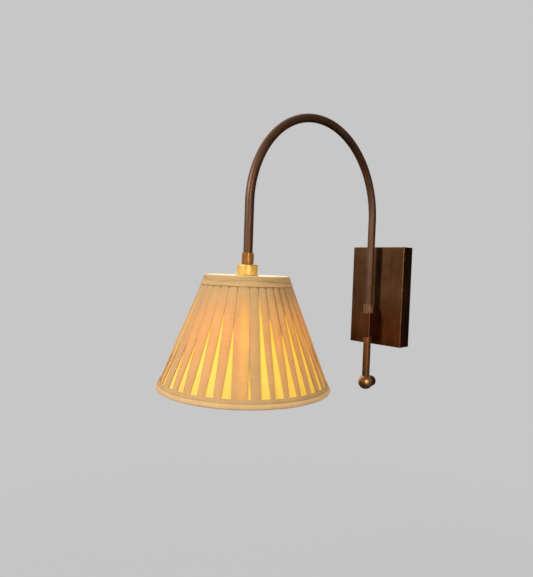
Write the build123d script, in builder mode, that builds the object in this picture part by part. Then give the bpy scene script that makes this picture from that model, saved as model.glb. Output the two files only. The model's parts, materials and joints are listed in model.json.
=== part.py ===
from build123d import *
import os
from math import asin, atan, cos, degrees, radians, sin, sqrt

# Swing-arm wall lamp. The wall is the plane Y = 0, the room lies along -Y and Z points up.
# The origin is the centre of the backplate's back. All sizes are in millimetres.

# Clearances
slip = 0.1  # between pieces that stay together
running = 0.07  # radial, a shaft that turns in its bush
parting = 0.3  # between faces that pass each other

# Threads and screws, as plain diameters
m3 = 3.0
m4 = 4.0
m5 = 5.0
screw_head = 7.2
pan_head_height = 2.4
screw_slot = 0.9

# Backplate, a shallow tray that stands against the wall
plate_width = 90.0
plate_height = 147.0
plate_depth = 22.0
plate_skin = 2.0
plate_face = 3.0
plate_edge = 1.0

# Bracket inside the backplate, a cross of strap with two bent tabs
strap_width = 24.0
strap_thickness = 2.0
strap_gap = 4.0
tab_length = 16.0
side_screw_inset = 9.0
side_screw_length = 8.0
wall_screw_spacing = 60.3
wall_screw_hole = 4.6
cable_hole = 10.0
cable_hole_z = 30.0
earth_screw_z = 16.0

# Arm tube, an arch between two straight legs
tube = 11.0
tube_wall = 1.5
tube_thread_step = 0.5
post_standoff = 18.0
arch_radius = 121.0
arch_spring_z = 111.5
spigot_length = 5.5

# Pivot block on the front of the backplate
block_width = 18.0
block_height = 35.0
block_top_z = -25.0
block_front = 9.0
block_edge = 0.5
block_screw_inset = 5.0
block_screw_depth = 9.5
bush_wall = 0.9
bush_length = 8.0
bush_flange_step = 1.0
bush_flange_thickness = 1.0

# Swing stop and drag, inside the block
swing_limit = 70.0
stop_pin = 3.0
stop_pin_tip = 0.2
window_margin = 1.5
wire_hole = 7.0
drag_pad_thickness = 1.0

# Collar that joins the arch to the post, and coupler above the lampholder
collar_step = 1.75
collar_height = 11.0
coupler_step = 1.5
coupler_height = 13.5
turned_edge = 0.6
collar_screw_inset = 3.0

# Ball under the post, with the switch inside it
ball = 21.4
ball_z = -129.0
ball_flat = 0.55  # share of the ball's radius
switch_body = 9.0
switch_body_length = 10.8
spindle = 3.5
spindle_in_body = 4.6
spindle_in_key = 9.5
key_reach = 18.6
key_tip = 14.6
key_flutes = 8
key_flute = 2.4

# Lampholder
holder_cap = 24.0
holder_cap_height = 11.3
holder_cap_wall = 1.0
holder_cap_top = 1.5
holder_cap_edge = 1.6
holder_top_z = 40.0
flange_step = 2.1
flange_height = 3.1
flange_rim = 1.0
barrel_step = 0.2
barrel_wall = 1.7
barrel_bottom_z = -6.0
barrel_lip = 1.2
barrel_lip_step = 1.5
thread_rise = 6.4
nipple_bore = 7.0
core_bore = 16.0
core_top_z = 33.4
core_seat_z = 27.0
core_wire_hole = 3.0
shell_wall = 0.7
shell_top_z = 25.0
shell_bottom_z = -3.0
contact = 6.0
contact_thickness = 1.6
shade_ring_step = 5.3
shade_ring_neck_step = 2.3
shade_ring_height = 7.5
shade_ring_rim = 2.0
shade_ring_notches = 18

# Bulb with a small screw cap
bulb_cap = 13.8
bulb_cap_top_z = 25.3
bulb_cap_bottom_z = -3.0
bulb_neck = 14.8
bulb_neck_z = -8.0
bulb_collar = 30.0
bulb_collar_z = -22.0
bulb = 45.0
bulb_glass = 0.8

# Shade, a pleated cloth cone on a wire frame
shade_top = 98.5
shade_bottom = 203.0
shade_top_z = 27.5
shade_bottom_z = -104.0
wire = 2.4
strut_count = 9
strut_start = 9.0
spider_arms = 3
spider_start = 30.0
fitter_step = 7.8
fitter_thickness = 1.2
cover_base = 0.6
pleat_rise = 0.9
pleat_count = 36
pleat_seam = 13.8  # degrees that the wide seam pleat spans
pleat_seam_at = -44.4  # direction of the seam pleat's middle, from +X
pleat_gap_top = 0.06  # share of a pitch that lies open
pleat_gap_bottom = 0.5
pleat_gap_seam = 0.3  # share of a normal gap that is left beside the seam
trim = 0.9
trim_top_height = 11.5
trim_bottom_height = 10.0
piping_height = 6.0
piping_rise = 0.8
lining = 0.45

# Wiring
flex = 5.0
flex_run_y = -9.0
flex_bend = 9.5
terminal_width = 30.0
terminal_depth = 14.0
terminal_height = 16.0
terminal_z = 52.0
terminal_screw = 4.0
terminal_screw_depth = 4.0
terminal_pitch = 10.0
terminal_rows = 8.0

# Positions that follow from the sizes above
post_y = -plate_depth - post_standoff
lamp_y = post_y - 2 * arch_radius
arch_y = post_y - arch_radius
tube_r = tube / 2
bore_r = tube_r - tube_wall
spigot_r = tube_r - tube_thread_step
bush_in_r = tube_r + running
bush_out_r = bush_in_r + bush_wall
bush_flange_r = bush_out_r + bush_flange_step
block_bore_r = bush_out_r + slip / 2
block_bottom_z = block_top_z - block_height
window_top_z = block_top_z - bush_length - window_margin
window_bottom_z = block_bottom_z + bush_length + window_margin
wire_hole_z = window_top_z - wire_hole / 2 - window_margin
stop_pin_z = window_bottom_z + stop_pin / 2 + window_margin
collar_bottom_z = block_top_z + bush_flange_thickness + slip
collar_top_z = collar_bottom_z + collar_height
coupler_bottom_z = holder_top_z
coupler_top_z = coupler_bottom_z + coupler_height
ball_r = ball / 2
ball_top_z = ball_z + sqrt(ball_r**2 - tube_r**2)
ball_flat_y = post_y + ball_flat * ball_r
ball_spigot = ball_top_z - ball_z - switch_body / 2 - parting - slip
collar_r = tube_r + collar_step
coupler_r = tube_r + coupler_step
cap_r = holder_cap / 2
barrel_r = cap_r + barrel_step
barrel_in_r = barrel_r - barrel_wall
flange_r = cap_r + flange_step
fitter_r = barrel_r + fitter_step
cap_bottom_z = holder_top_z - slip - holder_cap_height
flange_top_z = cap_bottom_z - slip
flange_bottom_z = flange_top_z - flange_height
fitter_top_z = flange_bottom_z - slip
fitter_bottom_z = fitter_top_z - fitter_thickness
wire_z = (fitter_top_z + fitter_bottom_z) / 2
side_screw_y = -side_screw_inset
strap_height = plate_height - 2 * plate_skin - 2 * slip
strap_span = plate_width - 2 * plate_skin - 2 * strap_gap
face_y = plate_face - plate_depth
block_screw_zs = (block_top_z - block_screw_inset, block_bottom_z + block_screw_inset)

post_axis = Axis((0, post_y, 0), (0, 0, 1))
lamp_axis = Axis((0, lamp_y, 0), (0, 0, 1))
key_axis = Axis((0, post_y, ball_z), (0, 1, 0))
post_plane = Plane.XZ.offset(-post_y)
lamp_plane = Plane.XZ.offset(-lamp_y)
key_plane = Plane((0, post_y, ball_z), x_dir=(1, 0, 0), z_dir=(0, 0, 1))


def profile(plane, points):
    """Closed outline on a plane, for turning."""
    with BuildSketch(plane) as outline:
        with BuildLine():
            Polyline(*points, close=True)
        make_face()
    return outline.sketch


def ring(inner, outer, bottom, top):
    """Outline of a turned tube."""
    return [(inner, bottom), (outer, bottom), (outer, top), (inner, top)]


def broken_ring(inner, outer, bottom, top, edge):
    """Outline of a turned tube with its outer corners broken."""
    return [
        (inner, bottom),
        (outer - edge, bottom),
        (outer, bottom + edge),
        (outer, top - edge),
        (outer - edge, top),
        (inner, top),
    ]


def rod(start, end, diameter):
    """Straight round wire between two points."""
    along = Vector(*end) - Vector(*start)
    return Solid.make_cylinder(diameter / 2, along.length, Plane(start, z_dir=along))


def slotted(head, height, shank, length):
    """Slotted screw, its head standing on Z = 0 and its shank below."""
    outline = [(0, -length), (shank / 2, -length), (shank / 2, 0)]
    outline += [(head / 2, 0), (head / 2, height * 0.6), (head / 2 - height * 0.4, height), (0, height)]
    with BuildPart() as screw:
        revolve(profile(Plane.XZ, outline), axis=Axis.Z)
        with Locations((0, 0, height)):
            Box(head, screw_slot, height * 0.8, mode=Mode.SUBTRACT)
    return screw.part


def countersunk(head, shank, length):
    """Slotted screw with a flush cone head, its top on Z = 0 and its shank below."""
    cone = (head - shank) / 2
    outline = [(0, -length), (shank / 2, -length), (shank / 2, -cone), (head / 2, 0), (0, 0)]
    with BuildPart() as screw:
        revolve(profile(Plane.XZ, outline), axis=Axis.Z)
        Box(head, screw_slot, cone * 0.9, mode=Mode.SUBTRACT)
    return screw.part


# Backplate
with BuildPart() as backplate:
    Box(plate_width, plate_depth, plate_height, align=(Align.CENTER, Align.MAX, Align.CENTER))
    fillet(backplate.edges().filter_by(Axis.Y) + backplate.faces().sort_by(Axis.Y)[0].edges(), plate_edge)
    Box(
        plate_width - 2 * plate_skin,
        plate_depth - plate_face,
        plate_height - 2 * plate_skin,
        align=(Align.CENTER, Align.MAX, Align.CENTER),
        mode=Mode.SUBTRACT,
    )
    with Locations(*[(0, face_y, z) for z in block_screw_zs]):
        Cylinder(m4 / 2 + parting, plate_depth, rotation=(90, 0, 0), mode=Mode.SUBTRACT)
    with Locations((0, face_y, wire_hole_z)):
        Cylinder(wire_hole / 2 + parting, plate_depth, rotation=(90, 0, 0), mode=Mode.SUBTRACT)
    with Locations(
        Location((0, side_screw_y, plate_height / 2)),
        Location((0, side_screw_y, -plate_height / 2), (180, 0, 0)),
    ):
        CounterSinkHole(m4 / 2 + parting, screw_head / 2 + 2 * slip, 2 * plate_skin, counter_sink_angle=90)
backplate.part.label = "backplate"

# Bracket on the wall
with BuildPart() as wall_bracket:
    Box(strap_width, strap_thickness, strap_height, align=(Align.CENTER, Align.MAX, Align.CENTER))
    Box(strap_span, strap_thickness, strap_width, align=(Align.CENTER, Align.MAX, Align.CENTER))
    with Locations((0, 0, strap_height / 2), (0, 0, strap_thickness - strap_height / 2)):
        Box(strap_width, tab_length, strap_thickness, align=(Align.CENTER, Align.MAX, Align.MAX))
    bends = wall_bracket.edges().filter_by(Axis.X).filter_by_position(Axis.Y, -slip, slip)
    fillet(bends.group_by(Axis.Z)[0] + bends.group_by(Axis.Z)[-1], strap_thickness * 0.75)
    with Locations((-wall_screw_spacing / 2, 0, 0), (wall_screw_spacing / 2, 0, 0)):
        Cylinder(wall_screw_hole / 2, 3 * strap_thickness, rotation=(90, 0, 0), mode=Mode.SUBTRACT)
    with Locations((0, 0, cable_hole_z)):
        Cylinder(cable_hole / 2, 3 * strap_thickness, rotation=(90, 0, 0), mode=Mode.SUBTRACT)
    with Locations((0, 0, earth_screw_z)):
        Cylinder(m4 / 2 + slip, 3 * strap_thickness, rotation=(90, 0, 0), mode=Mode.SUBTRACT)
    with Locations((0, side_screw_y, 0)):
        Cylinder(m4 / 2 + slip, plate_height, mode=Mode.SUBTRACT)
wall_bracket.part.label = "wall_bracket"

# Screws that hold the backplate to the bracket, one above and one below
side_screw = countersunk(screw_head, m4, side_screw_length)
with BuildPart() as bracket_screws:
    with Locations(
        Location((0, side_screw_y, plate_height / 2 - slip)),
        Location((0, side_screw_y, slip - plate_height / 2), (180, 0, 0)),
    ):
        add(side_screw)
bracket_screws.part.label = "bracket_screws"

# Earth screw on the bracket
short_screw = slotted(screw_head, pan_head_height, m4, strap_thickness)
with BuildPart() as earth_screw:
    with Locations(Location((0, -strap_thickness, earth_screw_z), (90, 0, 0))):
        add(short_screw)
earth_screw.part.label = "earth_screw"

# Terminal block on the bracket
terminal_xs = [k * terminal_pitch for k in (-1, 0, 1)]
terminal_zs = [terminal_z + k * terminal_rows / 2 for k in (-1, 1)]
terminal_front_y = -strap_thickness - terminal_depth
terminal_bottom_z = terminal_z - terminal_height / 2
with BuildPart() as terminal_block:
    with Locations((0, -strap_thickness, terminal_z)):
        Box(terminal_width, terminal_depth, terminal_height, align=(Align.CENTER, Align.MAX, Align.CENTER))
    with Locations(*[(x, terminal_front_y, z) for x in terminal_xs for z in terminal_zs]):
        Cylinder(
            terminal_screw / 2 + slip,
            terminal_screw_depth,
            rotation=(90, 0, 0),
            align=(Align.CENTER, Align.CENTER, Align.MAX),
            mode=Mode.SUBTRACT,
        )
    with Locations(*[(x, terminal_front_y, terminal_z) for x in (-terminal_pitch / 2, terminal_pitch / 2)]):
        Box(1.5, 6, terminal_height, mode=Mode.SUBTRACT)
terminal_block.part.label = "terminal_block"

clamp_screw = slotted(terminal_screw, 1.5, terminal_screw * 0.7, terminal_screw_depth - 1.5 - slip)
with BuildPart() as terminal_screws:
    with Locations(
        *[Location((x, terminal_front_y + 1.5, z), (90, 0, 0)) for x in terminal_xs for z in terminal_zs]
    ):
        add(clamp_screw)
terminal_screws.part.label = "terminal_screws"

# Pivot block
block_middle_z = (block_top_z + block_bottom_z) / 2
block_front_y = post_y - block_front
with BuildPart() as pivot_block:
    with Locations((0, block_front_y, block_middle_z)):
        Box(
            block_width,
            -plate_depth - block_front_y,
            block_height,
            align=(Align.CENTER, Align.MIN, Align.CENTER),
        )
    rear = pivot_block.faces().sort_by(Axis.Y)[-1]
    chamfer(pivot_block.edges() - rear.edges(), block_edge)
    with Locations((0, post_y, block_middle_z)):
        Cylinder(block_bore_r, block_height, mode=Mode.SUBTRACT)
    with Locations(*[(0, -plate_depth, z) for z in block_screw_zs]):
        Cylinder(m4 / 2 + slip / 2, 2 * block_screw_depth + 1, rotation=(90, 0, 0), mode=Mode.SUBTRACT)
    with Locations((0, -plate_depth, wire_hole_z)):
        Cylinder(wire_hole / 2, 2 * post_standoff, rotation=(90, 0, 0), mode=Mode.SUBTRACT)
    with Locations((0, -plate_depth, stop_pin_z)):
        Cylinder(stop_pin / 2 + slip / 2, 2 * post_standoff, rotation=(90, 0, 0), mode=Mode.SUBTRACT)
    with Locations((-block_width / 2, post_y, block_middle_z)):
        Cylinder(m5 / 2 + slip, block_width, rotation=(0, 90, 0), mode=Mode.SUBTRACT)
pivot_block.part.label = "pivot_block"

# Screws from inside the backplate into the block
with BuildPart() as block_screws:
    with Locations(*[Location((0, face_y, z), (-90, 0, 0)) for z in block_screw_zs]):
        Cylinder(screw_head / 2, m4, align=(Align.CENTER, Align.CENTER, Align.MIN))
        Cylinder(m4 / 2, plate_face + block_screw_depth, align=(Align.CENTER, Align.CENTER, Align.MAX))
    for z in block_screw_zs:
        with BuildSketch(Plane((0, face_y + m4, z), z_dir=(0, 1, 0))):
            RegularPolygon(m4 * 0.375, 6, major_radius=False)
        extrude(amount=-m4 / 2, mode=Mode.SUBTRACT)
block_screws.part.label = "block_screws"

# Bushes that the post turns in
with BuildPart() as upper_bush:
    sleeve = [
        (bush_in_r, block_top_z - bush_length),
        (bush_out_r, block_top_z - bush_length),
        (bush_out_r, block_top_z),
        (bush_flange_r, block_top_z),
        (bush_flange_r, block_top_z + bush_flange_thickness),
        (bush_in_r, block_top_z + bush_flange_thickness),
    ]
    revolve(profile(post_plane, sleeve), axis=post_axis)
upper_bush.part.label = "upper_bush"

with BuildPart() as lower_bush:
    sleeve = [
        (bush_in_r, block_bottom_z + bush_length),
        (bush_out_r, block_bottom_z + bush_length),
        (bush_out_r, block_bottom_z),
        (bush_flange_r, block_bottom_z),
        (bush_flange_r, block_bottom_z - bush_flange_thickness),
        (bush_in_r, block_bottom_z - bush_flange_thickness),
    ]
    revolve(profile(post_plane, sleeve), axis=post_axis)
lower_bush.part.label = "lower_bush"

# Pin that stops the swing at the ends of the post's window
stop_pin_start_y = -plate_depth - slip
stop_pin_end_y = post_y + bore_r + stop_pin_tip
with BuildPart() as swing_stop:
    add(rod((0, stop_pin_start_y, stop_pin_z), (0, stop_pin_end_y, stop_pin_z), stop_pin))
swing_stop.part.label = "swing_stop"

# Drag screw and its pad, which steady the arm where it is left
pad_x = -tube_r - slip
pad_end_x = pad_x - drag_pad_thickness
with BuildPart() as drag_pad:
    add(rod((pad_x, post_y, block_middle_z), (pad_end_x, post_y, block_middle_z), m5 - slip))
drag_pad.part.label = "drag_pad"

with BuildPart() as drag_screw:
    add(rod((pad_end_x, post_y, block_middle_z), (slip - block_width / 2, post_y, block_middle_z), m5))
    with BuildSketch(Plane((slip - block_width / 2, post_y, block_middle_z), z_dir=(-1, 0, 0))):
        RegularPolygon(m5 * 0.25, 6, major_radius=False)
    extrude(amount=-m5 * 0.3, mode=Mode.SUBTRACT)
drag_screw.part.label = "drag_screw"

# Flex from the terminal block into the pivot block
with BuildPart() as base_flex:
    with BuildLine() as base_route:
        FilletPolyline(
            (0, flex_run_y, terminal_bottom_z),
            (0, flex_run_y, wire_hole_z),
            (0, post_y + block_bore_r, wire_hole_z),
            radius=flex_bend,
        )
    with BuildSketch(Plane((0, flex_run_y, terminal_bottom_z), z_dir=(0, 0, -1))):
        Circle(flex / 2)
    sweep()
base_flex.part.label = "base_flex"

# Post, with a window for the wires where it passes through the block
window_half = swing_limit + degrees(asin((stop_pin / 2 + parting) / tube_r))
window_reach = bush_in_r + bush_wall
with BuildPart() as pivot_post:
    outline = [
        (bore_r, ball_top_z - ball_spigot),
        (spigot_r, ball_top_z - ball_spigot),
        (spigot_r, ball_top_z),
        (tube_r, ball_top_z),
        (tube_r, collar_bottom_z),
        (spigot_r, collar_bottom_z),
        (spigot_r, collar_bottom_z + spigot_length - slip),
        (bore_r, collar_bottom_z + spigot_length - slip),
    ]
    revolve(profile(post_plane, outline), axis=post_axis)
    with BuildSketch(Plane((0, post_y, window_bottom_z))):
        with BuildLine():
            opening = CenterArc((0, 0), window_reach, 90 - window_half, 2 * window_half)
            Line(opening @ 1, (0, 0))
            Line((0, 0), opening @ 0)
        make_face()
    extrude(amount=window_top_z - window_bottom_z, mode=Mode.SUBTRACT)
pivot_post.part.label = "pivot_post"

# Collar between the post and the arch
collar_screw_z = collar_top_z - collar_screw_inset
with BuildPart() as post_collar:
    outline = broken_ring(spigot_r + slip, collar_r, collar_bottom_z, collar_top_z, turned_edge)
    revolve(profile(post_plane, outline), axis=post_axis)
    add(
        rod((0, post_y, collar_screw_z), (0, post_y + 2 * collar_r, collar_screw_z), m3 + slip),
        mode=Mode.SUBTRACT,
    )
post_collar.part.label = "post_collar"

with BuildPart() as collar_screw:
    screw_start_y = post_y + spigot_r + slip
    screw_end_y = post_y + collar_r - slip
    add(rod((0, screw_start_y, collar_screw_z), (0, screw_end_y, collar_screw_z), m3))
    with BuildSketch(Plane((0, screw_end_y, collar_screw_z), z_dir=(0, 1, 0))):
        RegularPolygon(m3 * 0.25, 6, major_radius=False)
    extrude(amount=-m3 * 0.3, mode=Mode.SUBTRACT)
collar_screw.part.label = "collar_screw"

# Arch of the arm
with BuildPart() as arm_tube:
    with BuildLine() as arm_route:
        Line((0, post_y, collar_top_z), (0, post_y, arch_spring_z))
        ThreePointArc(
            (0, post_y, arch_spring_z),
            (0, arch_y, arch_spring_z + arch_radius),
            (0, lamp_y, arch_spring_z),
        )
        Line((0, lamp_y, arch_spring_z), (0, lamp_y, coupler_top_z))
    with BuildSketch(Plane((0, post_y, collar_top_z))):
        Circle(tube_r)
        Circle(bore_r, mode=Mode.SUBTRACT)
    sweep()
    spigot = ring(bore_r, spigot_r, collar_top_z - spigot_length + slip, collar_top_z)
    revolve(profile(post_plane, spigot), axis=post_axis)
    spigot = ring(bore_r, spigot_r, coupler_top_z - spigot_length, coupler_top_z)
    revolve(profile(lamp_plane, spigot), axis=lamp_axis)
arm_tube.part.label = "arm_tube"

# Coupler between the arch and the lampholder
with BuildPart() as arm_coupler:
    outline = broken_ring(spigot_r + slip, coupler_r, coupler_bottom_z, coupler_top_z, turned_edge)
    revolve(profile(lamp_plane, outline), axis=lamp_axis)
arm_coupler.part.label = "arm_coupler"

# Threaded nipple that carries the lampholder
with BuildPart() as holder_nipple:
    outline = ring(nipple_bore / 2, spigot_r, core_top_z + slip, coupler_top_z - spigot_length - slip)
    revolve(profile(lamp_plane, outline), axis=lamp_axis)
holder_nipple.part.label = "holder_nipple"

# Lampholder cap
cap_top_z = holder_top_z - slip
cap_in_r = cap_r - holder_cap_wall
with BuildPart() as lampholder_cap:
    outline = [
        (cap_in_r, cap_bottom_z),
        (cap_r, cap_bottom_z),
        (cap_r, cap_top_z),
        (spigot_r + slip, cap_top_z),
        (spigot_r + slip, cap_top_z - holder_cap_top),
        (cap_in_r, cap_top_z - holder_cap_top),
    ]
    revolve(profile(lamp_plane, outline), axis=lamp_axis)
    rims = lampholder_cap.edges().filter_by(GeomType.CIRCLE).group_by(Axis.Z)[-1]
    fillet(rims.sort_by(SortBy.RADIUS)[-1], holder_cap_edge)
lampholder_cap.part.label = "lampholder_cap"

# Lampholder barrel, with the flange that the shade hangs under
barrel_lip_r = barrel_in_r - barrel_lip_step
with BuildPart() as lampholder_barrel:
    outline = [
        (barrel_in_r, flange_top_z + thread_rise),
        (cap_in_r - slip, flange_top_z + thread_rise),
        (cap_in_r - slip, flange_top_z),
        (cap_r + slip, flange_top_z),
        (flange_r, flange_bottom_z + flange_rim),
        (flange_r, flange_bottom_z),
        (barrel_r, flange_bottom_z),
        (barrel_r, barrel_bottom_z),
        (barrel_lip_r, barrel_bottom_z),
        (barrel_lip_r, barrel_bottom_z + barrel_lip),
        (barrel_in_r, barrel_bottom_z + barrel_lip),
    ]
    revolve(profile(lamp_plane, outline), axis=lamp_axis)
lampholder_barrel.part.label = "lampholder_barrel"

# Ceramic core, screw shell and centre contact
core_bottom_z = barrel_bottom_z + barrel_lip + slip
with BuildPart() as lampholder_core:
    outline = [
        (0, core_seat_z),
        (core_bore / 2, core_seat_z),
        (core_bore / 2, core_bottom_z),
        (barrel_in_r - slip, core_bottom_z),
        (barrel_in_r - slip, core_top_z),
        (0, core_top_z),
    ]
    revolve(profile(lamp_plane, outline), axis=lamp_axis)
    with Locations((0, lamp_y, core_top_z)):
        with PolarLocations(core_bore / 2 - core_wire_hole / 2, 2):
            Cylinder(core_wire_hole / 2, 4 * core_wire_hole, mode=Mode.SUBTRACT)
lampholder_core.part.label = "lampholder_core"

shell_r = core_bore / 2 - slip
with BuildPart() as screw_shell:
    outline = ring(shell_r - shell_wall, shell_r, shell_bottom_z, shell_top_z)
    revolve(profile(lamp_plane, outline), axis=lamp_axis)
screw_shell.part.label = "screw_shell"

with BuildPart() as centre_contact:
    add(
        rod(
            (0, lamp_y, core_seat_z),
            (0, lamp_y, core_seat_z - contact_thickness),
            contact,
        )
    )
centre_contact.part.label = "centre_contact"

# Bulb
with BuildPart() as bulb_base:
    outline = [
        (0, bulb_cap_top_z),
        (bulb_cap * 0.18, bulb_cap_top_z),
        (bulb_cap * 0.18, bulb_cap_top_z - 1.3),
        (bulb_cap * 0.45, bulb_cap_top_z - 3.3),
        (bulb_cap / 2, bulb_cap_top_z - 4.3),
        (bulb_cap / 2, bulb_cap_bottom_z),
        (0, bulb_cap_bottom_z),
    ]
    revolve(profile(lamp_plane, outline), axis=lamp_axis)
bulb_base.part.label = "bulb_base"

with BuildPart() as bulb_skirt:
    outline = [
        (0, bulb_cap_bottom_z),
        (bulb_neck / 2, bulb_cap_bottom_z),
        (bulb_neck / 2, bulb_neck_z),
        (bulb_collar * 0.37, (bulb_neck_z + bulb_collar_z) / 2),
        (bulb_collar / 2, bulb_collar_z),
        (0, bulb_collar_z),
    ]
    revolve(profile(lamp_plane, outline), axis=lamp_axis)
bulb_skirt.part.label = "bulb_skirt"

bulb_z = bulb_collar_z - sqrt((bulb / 2) ** 2 - (bulb_collar / 2) ** 2)
with BuildPart() as bulb_globe:
    with Locations((0, lamp_y, bulb_z)):
        Sphere(bulb / 2)
        Sphere(bulb / 2 - bulb_glass, mode=Mode.SUBTRACT)
    with Locations((0, lamp_y, bulb_collar_z)):
        Box(bulb, bulb, bulb, align=(Align.CENTER, Align.CENTER, Align.MIN), mode=Mode.SUBTRACT)
bulb_globe.part.label = "bulb_globe"

# Ring that clamps the shade's fitter under the flange
ring_top_z = fitter_bottom_z - slip
ring_r = barrel_r + shade_ring_step
ring_neck_r = barrel_r + shade_ring_neck_step
with BuildPart() as clamp_ring:
    outline = [
        (barrel_r + slip, ring_top_z),
        (ring_r, ring_top_z),
        (ring_r, ring_top_z - shade_ring_rim),
        (ring_neck_r, ring_top_z - shade_ring_rim),
        (ring_neck_r, ring_top_z - shade_ring_height),
        (barrel_r + slip, ring_top_z - shade_ring_height),
    ]
    revolve(profile(lamp_plane, outline), axis=lamp_axis)
    with Locations((0, lamp_y, ring_top_z - shade_ring_rim)):
        with PolarLocations(ring_neck_r, shade_ring_notches):
            Cylinder(
                1,
                shade_ring_height,
                align=(Align.CENTER, Align.CENTER, Align.MAX),
                mode=Mode.SUBTRACT,
            )
clamp_ring.part.label = "clamp_ring"

# Shade. Every layer is a cone at its own depth inside the outside of the trim.
shade_slope = (shade_bottom - shade_top) / 2 / (shade_top_z - shade_bottom_z)
lean = cos(atan(shade_slope))
strip_depth = trim + slip
gap_depth = strip_depth + pleat_rise
cover_depth = gap_depth + cover_base
wire_depth = cover_depth + (wire / 2 + slip) / lean
lining_depth = wire_depth + (wire / 2 + slip) / lean
bottom_wire_z = shade_bottom_z + trim + slip + wire / 2
cover_top_z = wire_z + wire / 2
cover_bottom_z = bottom_wire_z - wire / 2


def shade_r(z, depth=0.0):
    """Radius of a layer of the shade at a height."""
    return shade_top / 2 + (shade_top_z - z) * shade_slope - depth


def around(radius, angle, z):
    """Point at a radius and a direction around the lampholder's axis."""
    return (radius * cos(radians(angle)), lamp_y + radius * sin(radians(angle)), z)


# Wire frame
top_wire_r = shade_r(wire_z, wire_depth)
bottom_wire_r = shade_r(bottom_wire_z, wire_depth)
with BuildPart() as shade_frame:
    with Locations((0, lamp_y, wire_z)):
        Torus(top_wire_r, wire / 2)
    with Locations((0, lamp_y, bottom_wire_z)):
        Torus(bottom_wire_r, wire / 2)
    for k in range(strut_count):
        angle = strut_start + k * 360 / strut_count
        add(rod(around(top_wire_r, angle, wire_z), around(bottom_wire_r, angle, bottom_wire_z), wire))
shade_frame.part.label = "shade_frame"

# Spider, the fitter washer with its arms, welded to the top wire
arm_end_r = top_wire_r - wire / 2 - slip
with BuildPart() as shade_spider:
    outline = ring(barrel_r + slip, fitter_r, fitter_bottom_z, fitter_top_z)
    revolve(profile(lamp_plane, outline), axis=lamp_axis)
    for k in range(spider_arms):
        angle = spider_start + k * 360 / spider_arms
        add(rod(around(fitter_r - wire / 2, angle, wire_z), around(arm_end_r, angle, wire_z), wire))
shade_spider.part.label = "shade_spider"

# Lining inside the wires
lining_top_z = wire_z - wire / 2 - slip
lining_bottom_z = bottom_wire_z + wire / 2
with BuildPart() as shade_lining:
    outline = [
        (shade_r(lining_top_z, lining_depth), lining_top_z),
        (shade_r(lining_bottom_z, lining_depth), lining_bottom_z),
        (shade_r(lining_bottom_z, lining_depth + lining), lining_bottom_z),
        (shade_r(lining_top_z, lining_depth + lining), lining_top_z),
    ]
    revolve(profile(lamp_plane, outline), axis=lamp_axis)
shade_lining.part.label = "shade_lining"

# Pleated cover. The pleats are strips of one width, so the gaps between them open towards the bottom.
pleat_pitch = (360 - pleat_seam) / (pleat_count - 1)


def pleat_outline(z, gap):
    """Corners of the pleats around the cover at a height, with a share of each pitch open."""
    corners = []
    for k in range(pleat_count):
        middle = pleat_seam_at + pleat_seam / 2 + k * pleat_pitch
        half = gap * pleat_pitch / 2 * (pleat_gap_seam if k == 0 else 1)
        for side, depth in ((-1, strip_depth), (-1, gap_depth), (1, gap_depth), (1, strip_depth)):
            angle = radians(middle + side * half)
            radius = shade_r(z, depth)
            corners.append((radius * cos(angle), radius * sin(angle)))
    return corners


with BuildPart() as shade_pleats:
    for z, gap in ((cover_bottom_z, pleat_gap_bottom), (cover_top_z, pleat_gap_top)):
        with BuildSketch(Plane((0, lamp_y, z))):
            Polygon(*pleat_outline(z, gap), align=None)
    loft(ruled=True)
    outline = [
        (0, cover_bottom_z),
        (shade_r(cover_bottom_z, cover_depth), cover_bottom_z),
        (shade_r(cover_top_z, cover_depth), cover_top_z),
        (0, cover_top_z),
    ]
    revolve(profile(lamp_plane, outline), axis=lamp_axis, mode=Mode.SUBTRACT)
shade_pleats.part.label = "shade_pleats"

# Binding folded over the top wire
trim_top_z = shade_top_z - trim_top_height
with BuildPart() as top_binding:
    outline = [
        (shade_r(trim_top_z, trim), trim_top_z),
        (shade_r(trim_top_z), trim_top_z),
        (shade_r(shade_top_z), shade_top_z - trim / 2),
        (shade_r(shade_top_z) - trim, shade_top_z),
        (top_wire_r, shade_top_z),
        (top_wire_r - wire / 2, shade_top_z - trim / 2),
        (top_wire_r - wire / 2, cover_top_z + slip),
        (shade_r(cover_top_z + slip, trim), cover_top_z + slip),
    ]
    revolve(profile(lamp_plane, outline), axis=lamp_axis)
top_binding.part.label = "top_binding"

# Binding around the bottom wire, with a thicker rolled edge
trim_bottom_z = shade_bottom_z + trim_bottom_height
piping_z = shade_bottom_z + piping_height
with BuildPart() as bottom_binding:
    outline = [
        (shade_r(trim_bottom_z, trim), trim_bottom_z),
        (shade_r(trim_bottom_z, piping_rise / 2), trim_bottom_z - trim / 2),
        (shade_r(piping_z, piping_rise / 2), piping_z),
        (shade_r(piping_z) + piping_rise / 2, piping_z - trim),
        (shade_r(shade_bottom_z), shade_bottom_z + trim),
        (shade_r(shade_bottom_z, trim), shade_bottom_z),
        (bottom_wire_r, shade_bottom_z),
        (bottom_wire_r - wire / 2, shade_bottom_z + trim / 2),
        (bottom_wire_r - wire / 2, cover_bottom_z - slip),
        (shade_r(cover_bottom_z - slip, trim), cover_bottom_z - slip),
    ]
    revolve(profile(lamp_plane, outline), axis=lamp_axis)
bottom_binding.part.label = "bottom_binding"

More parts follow.
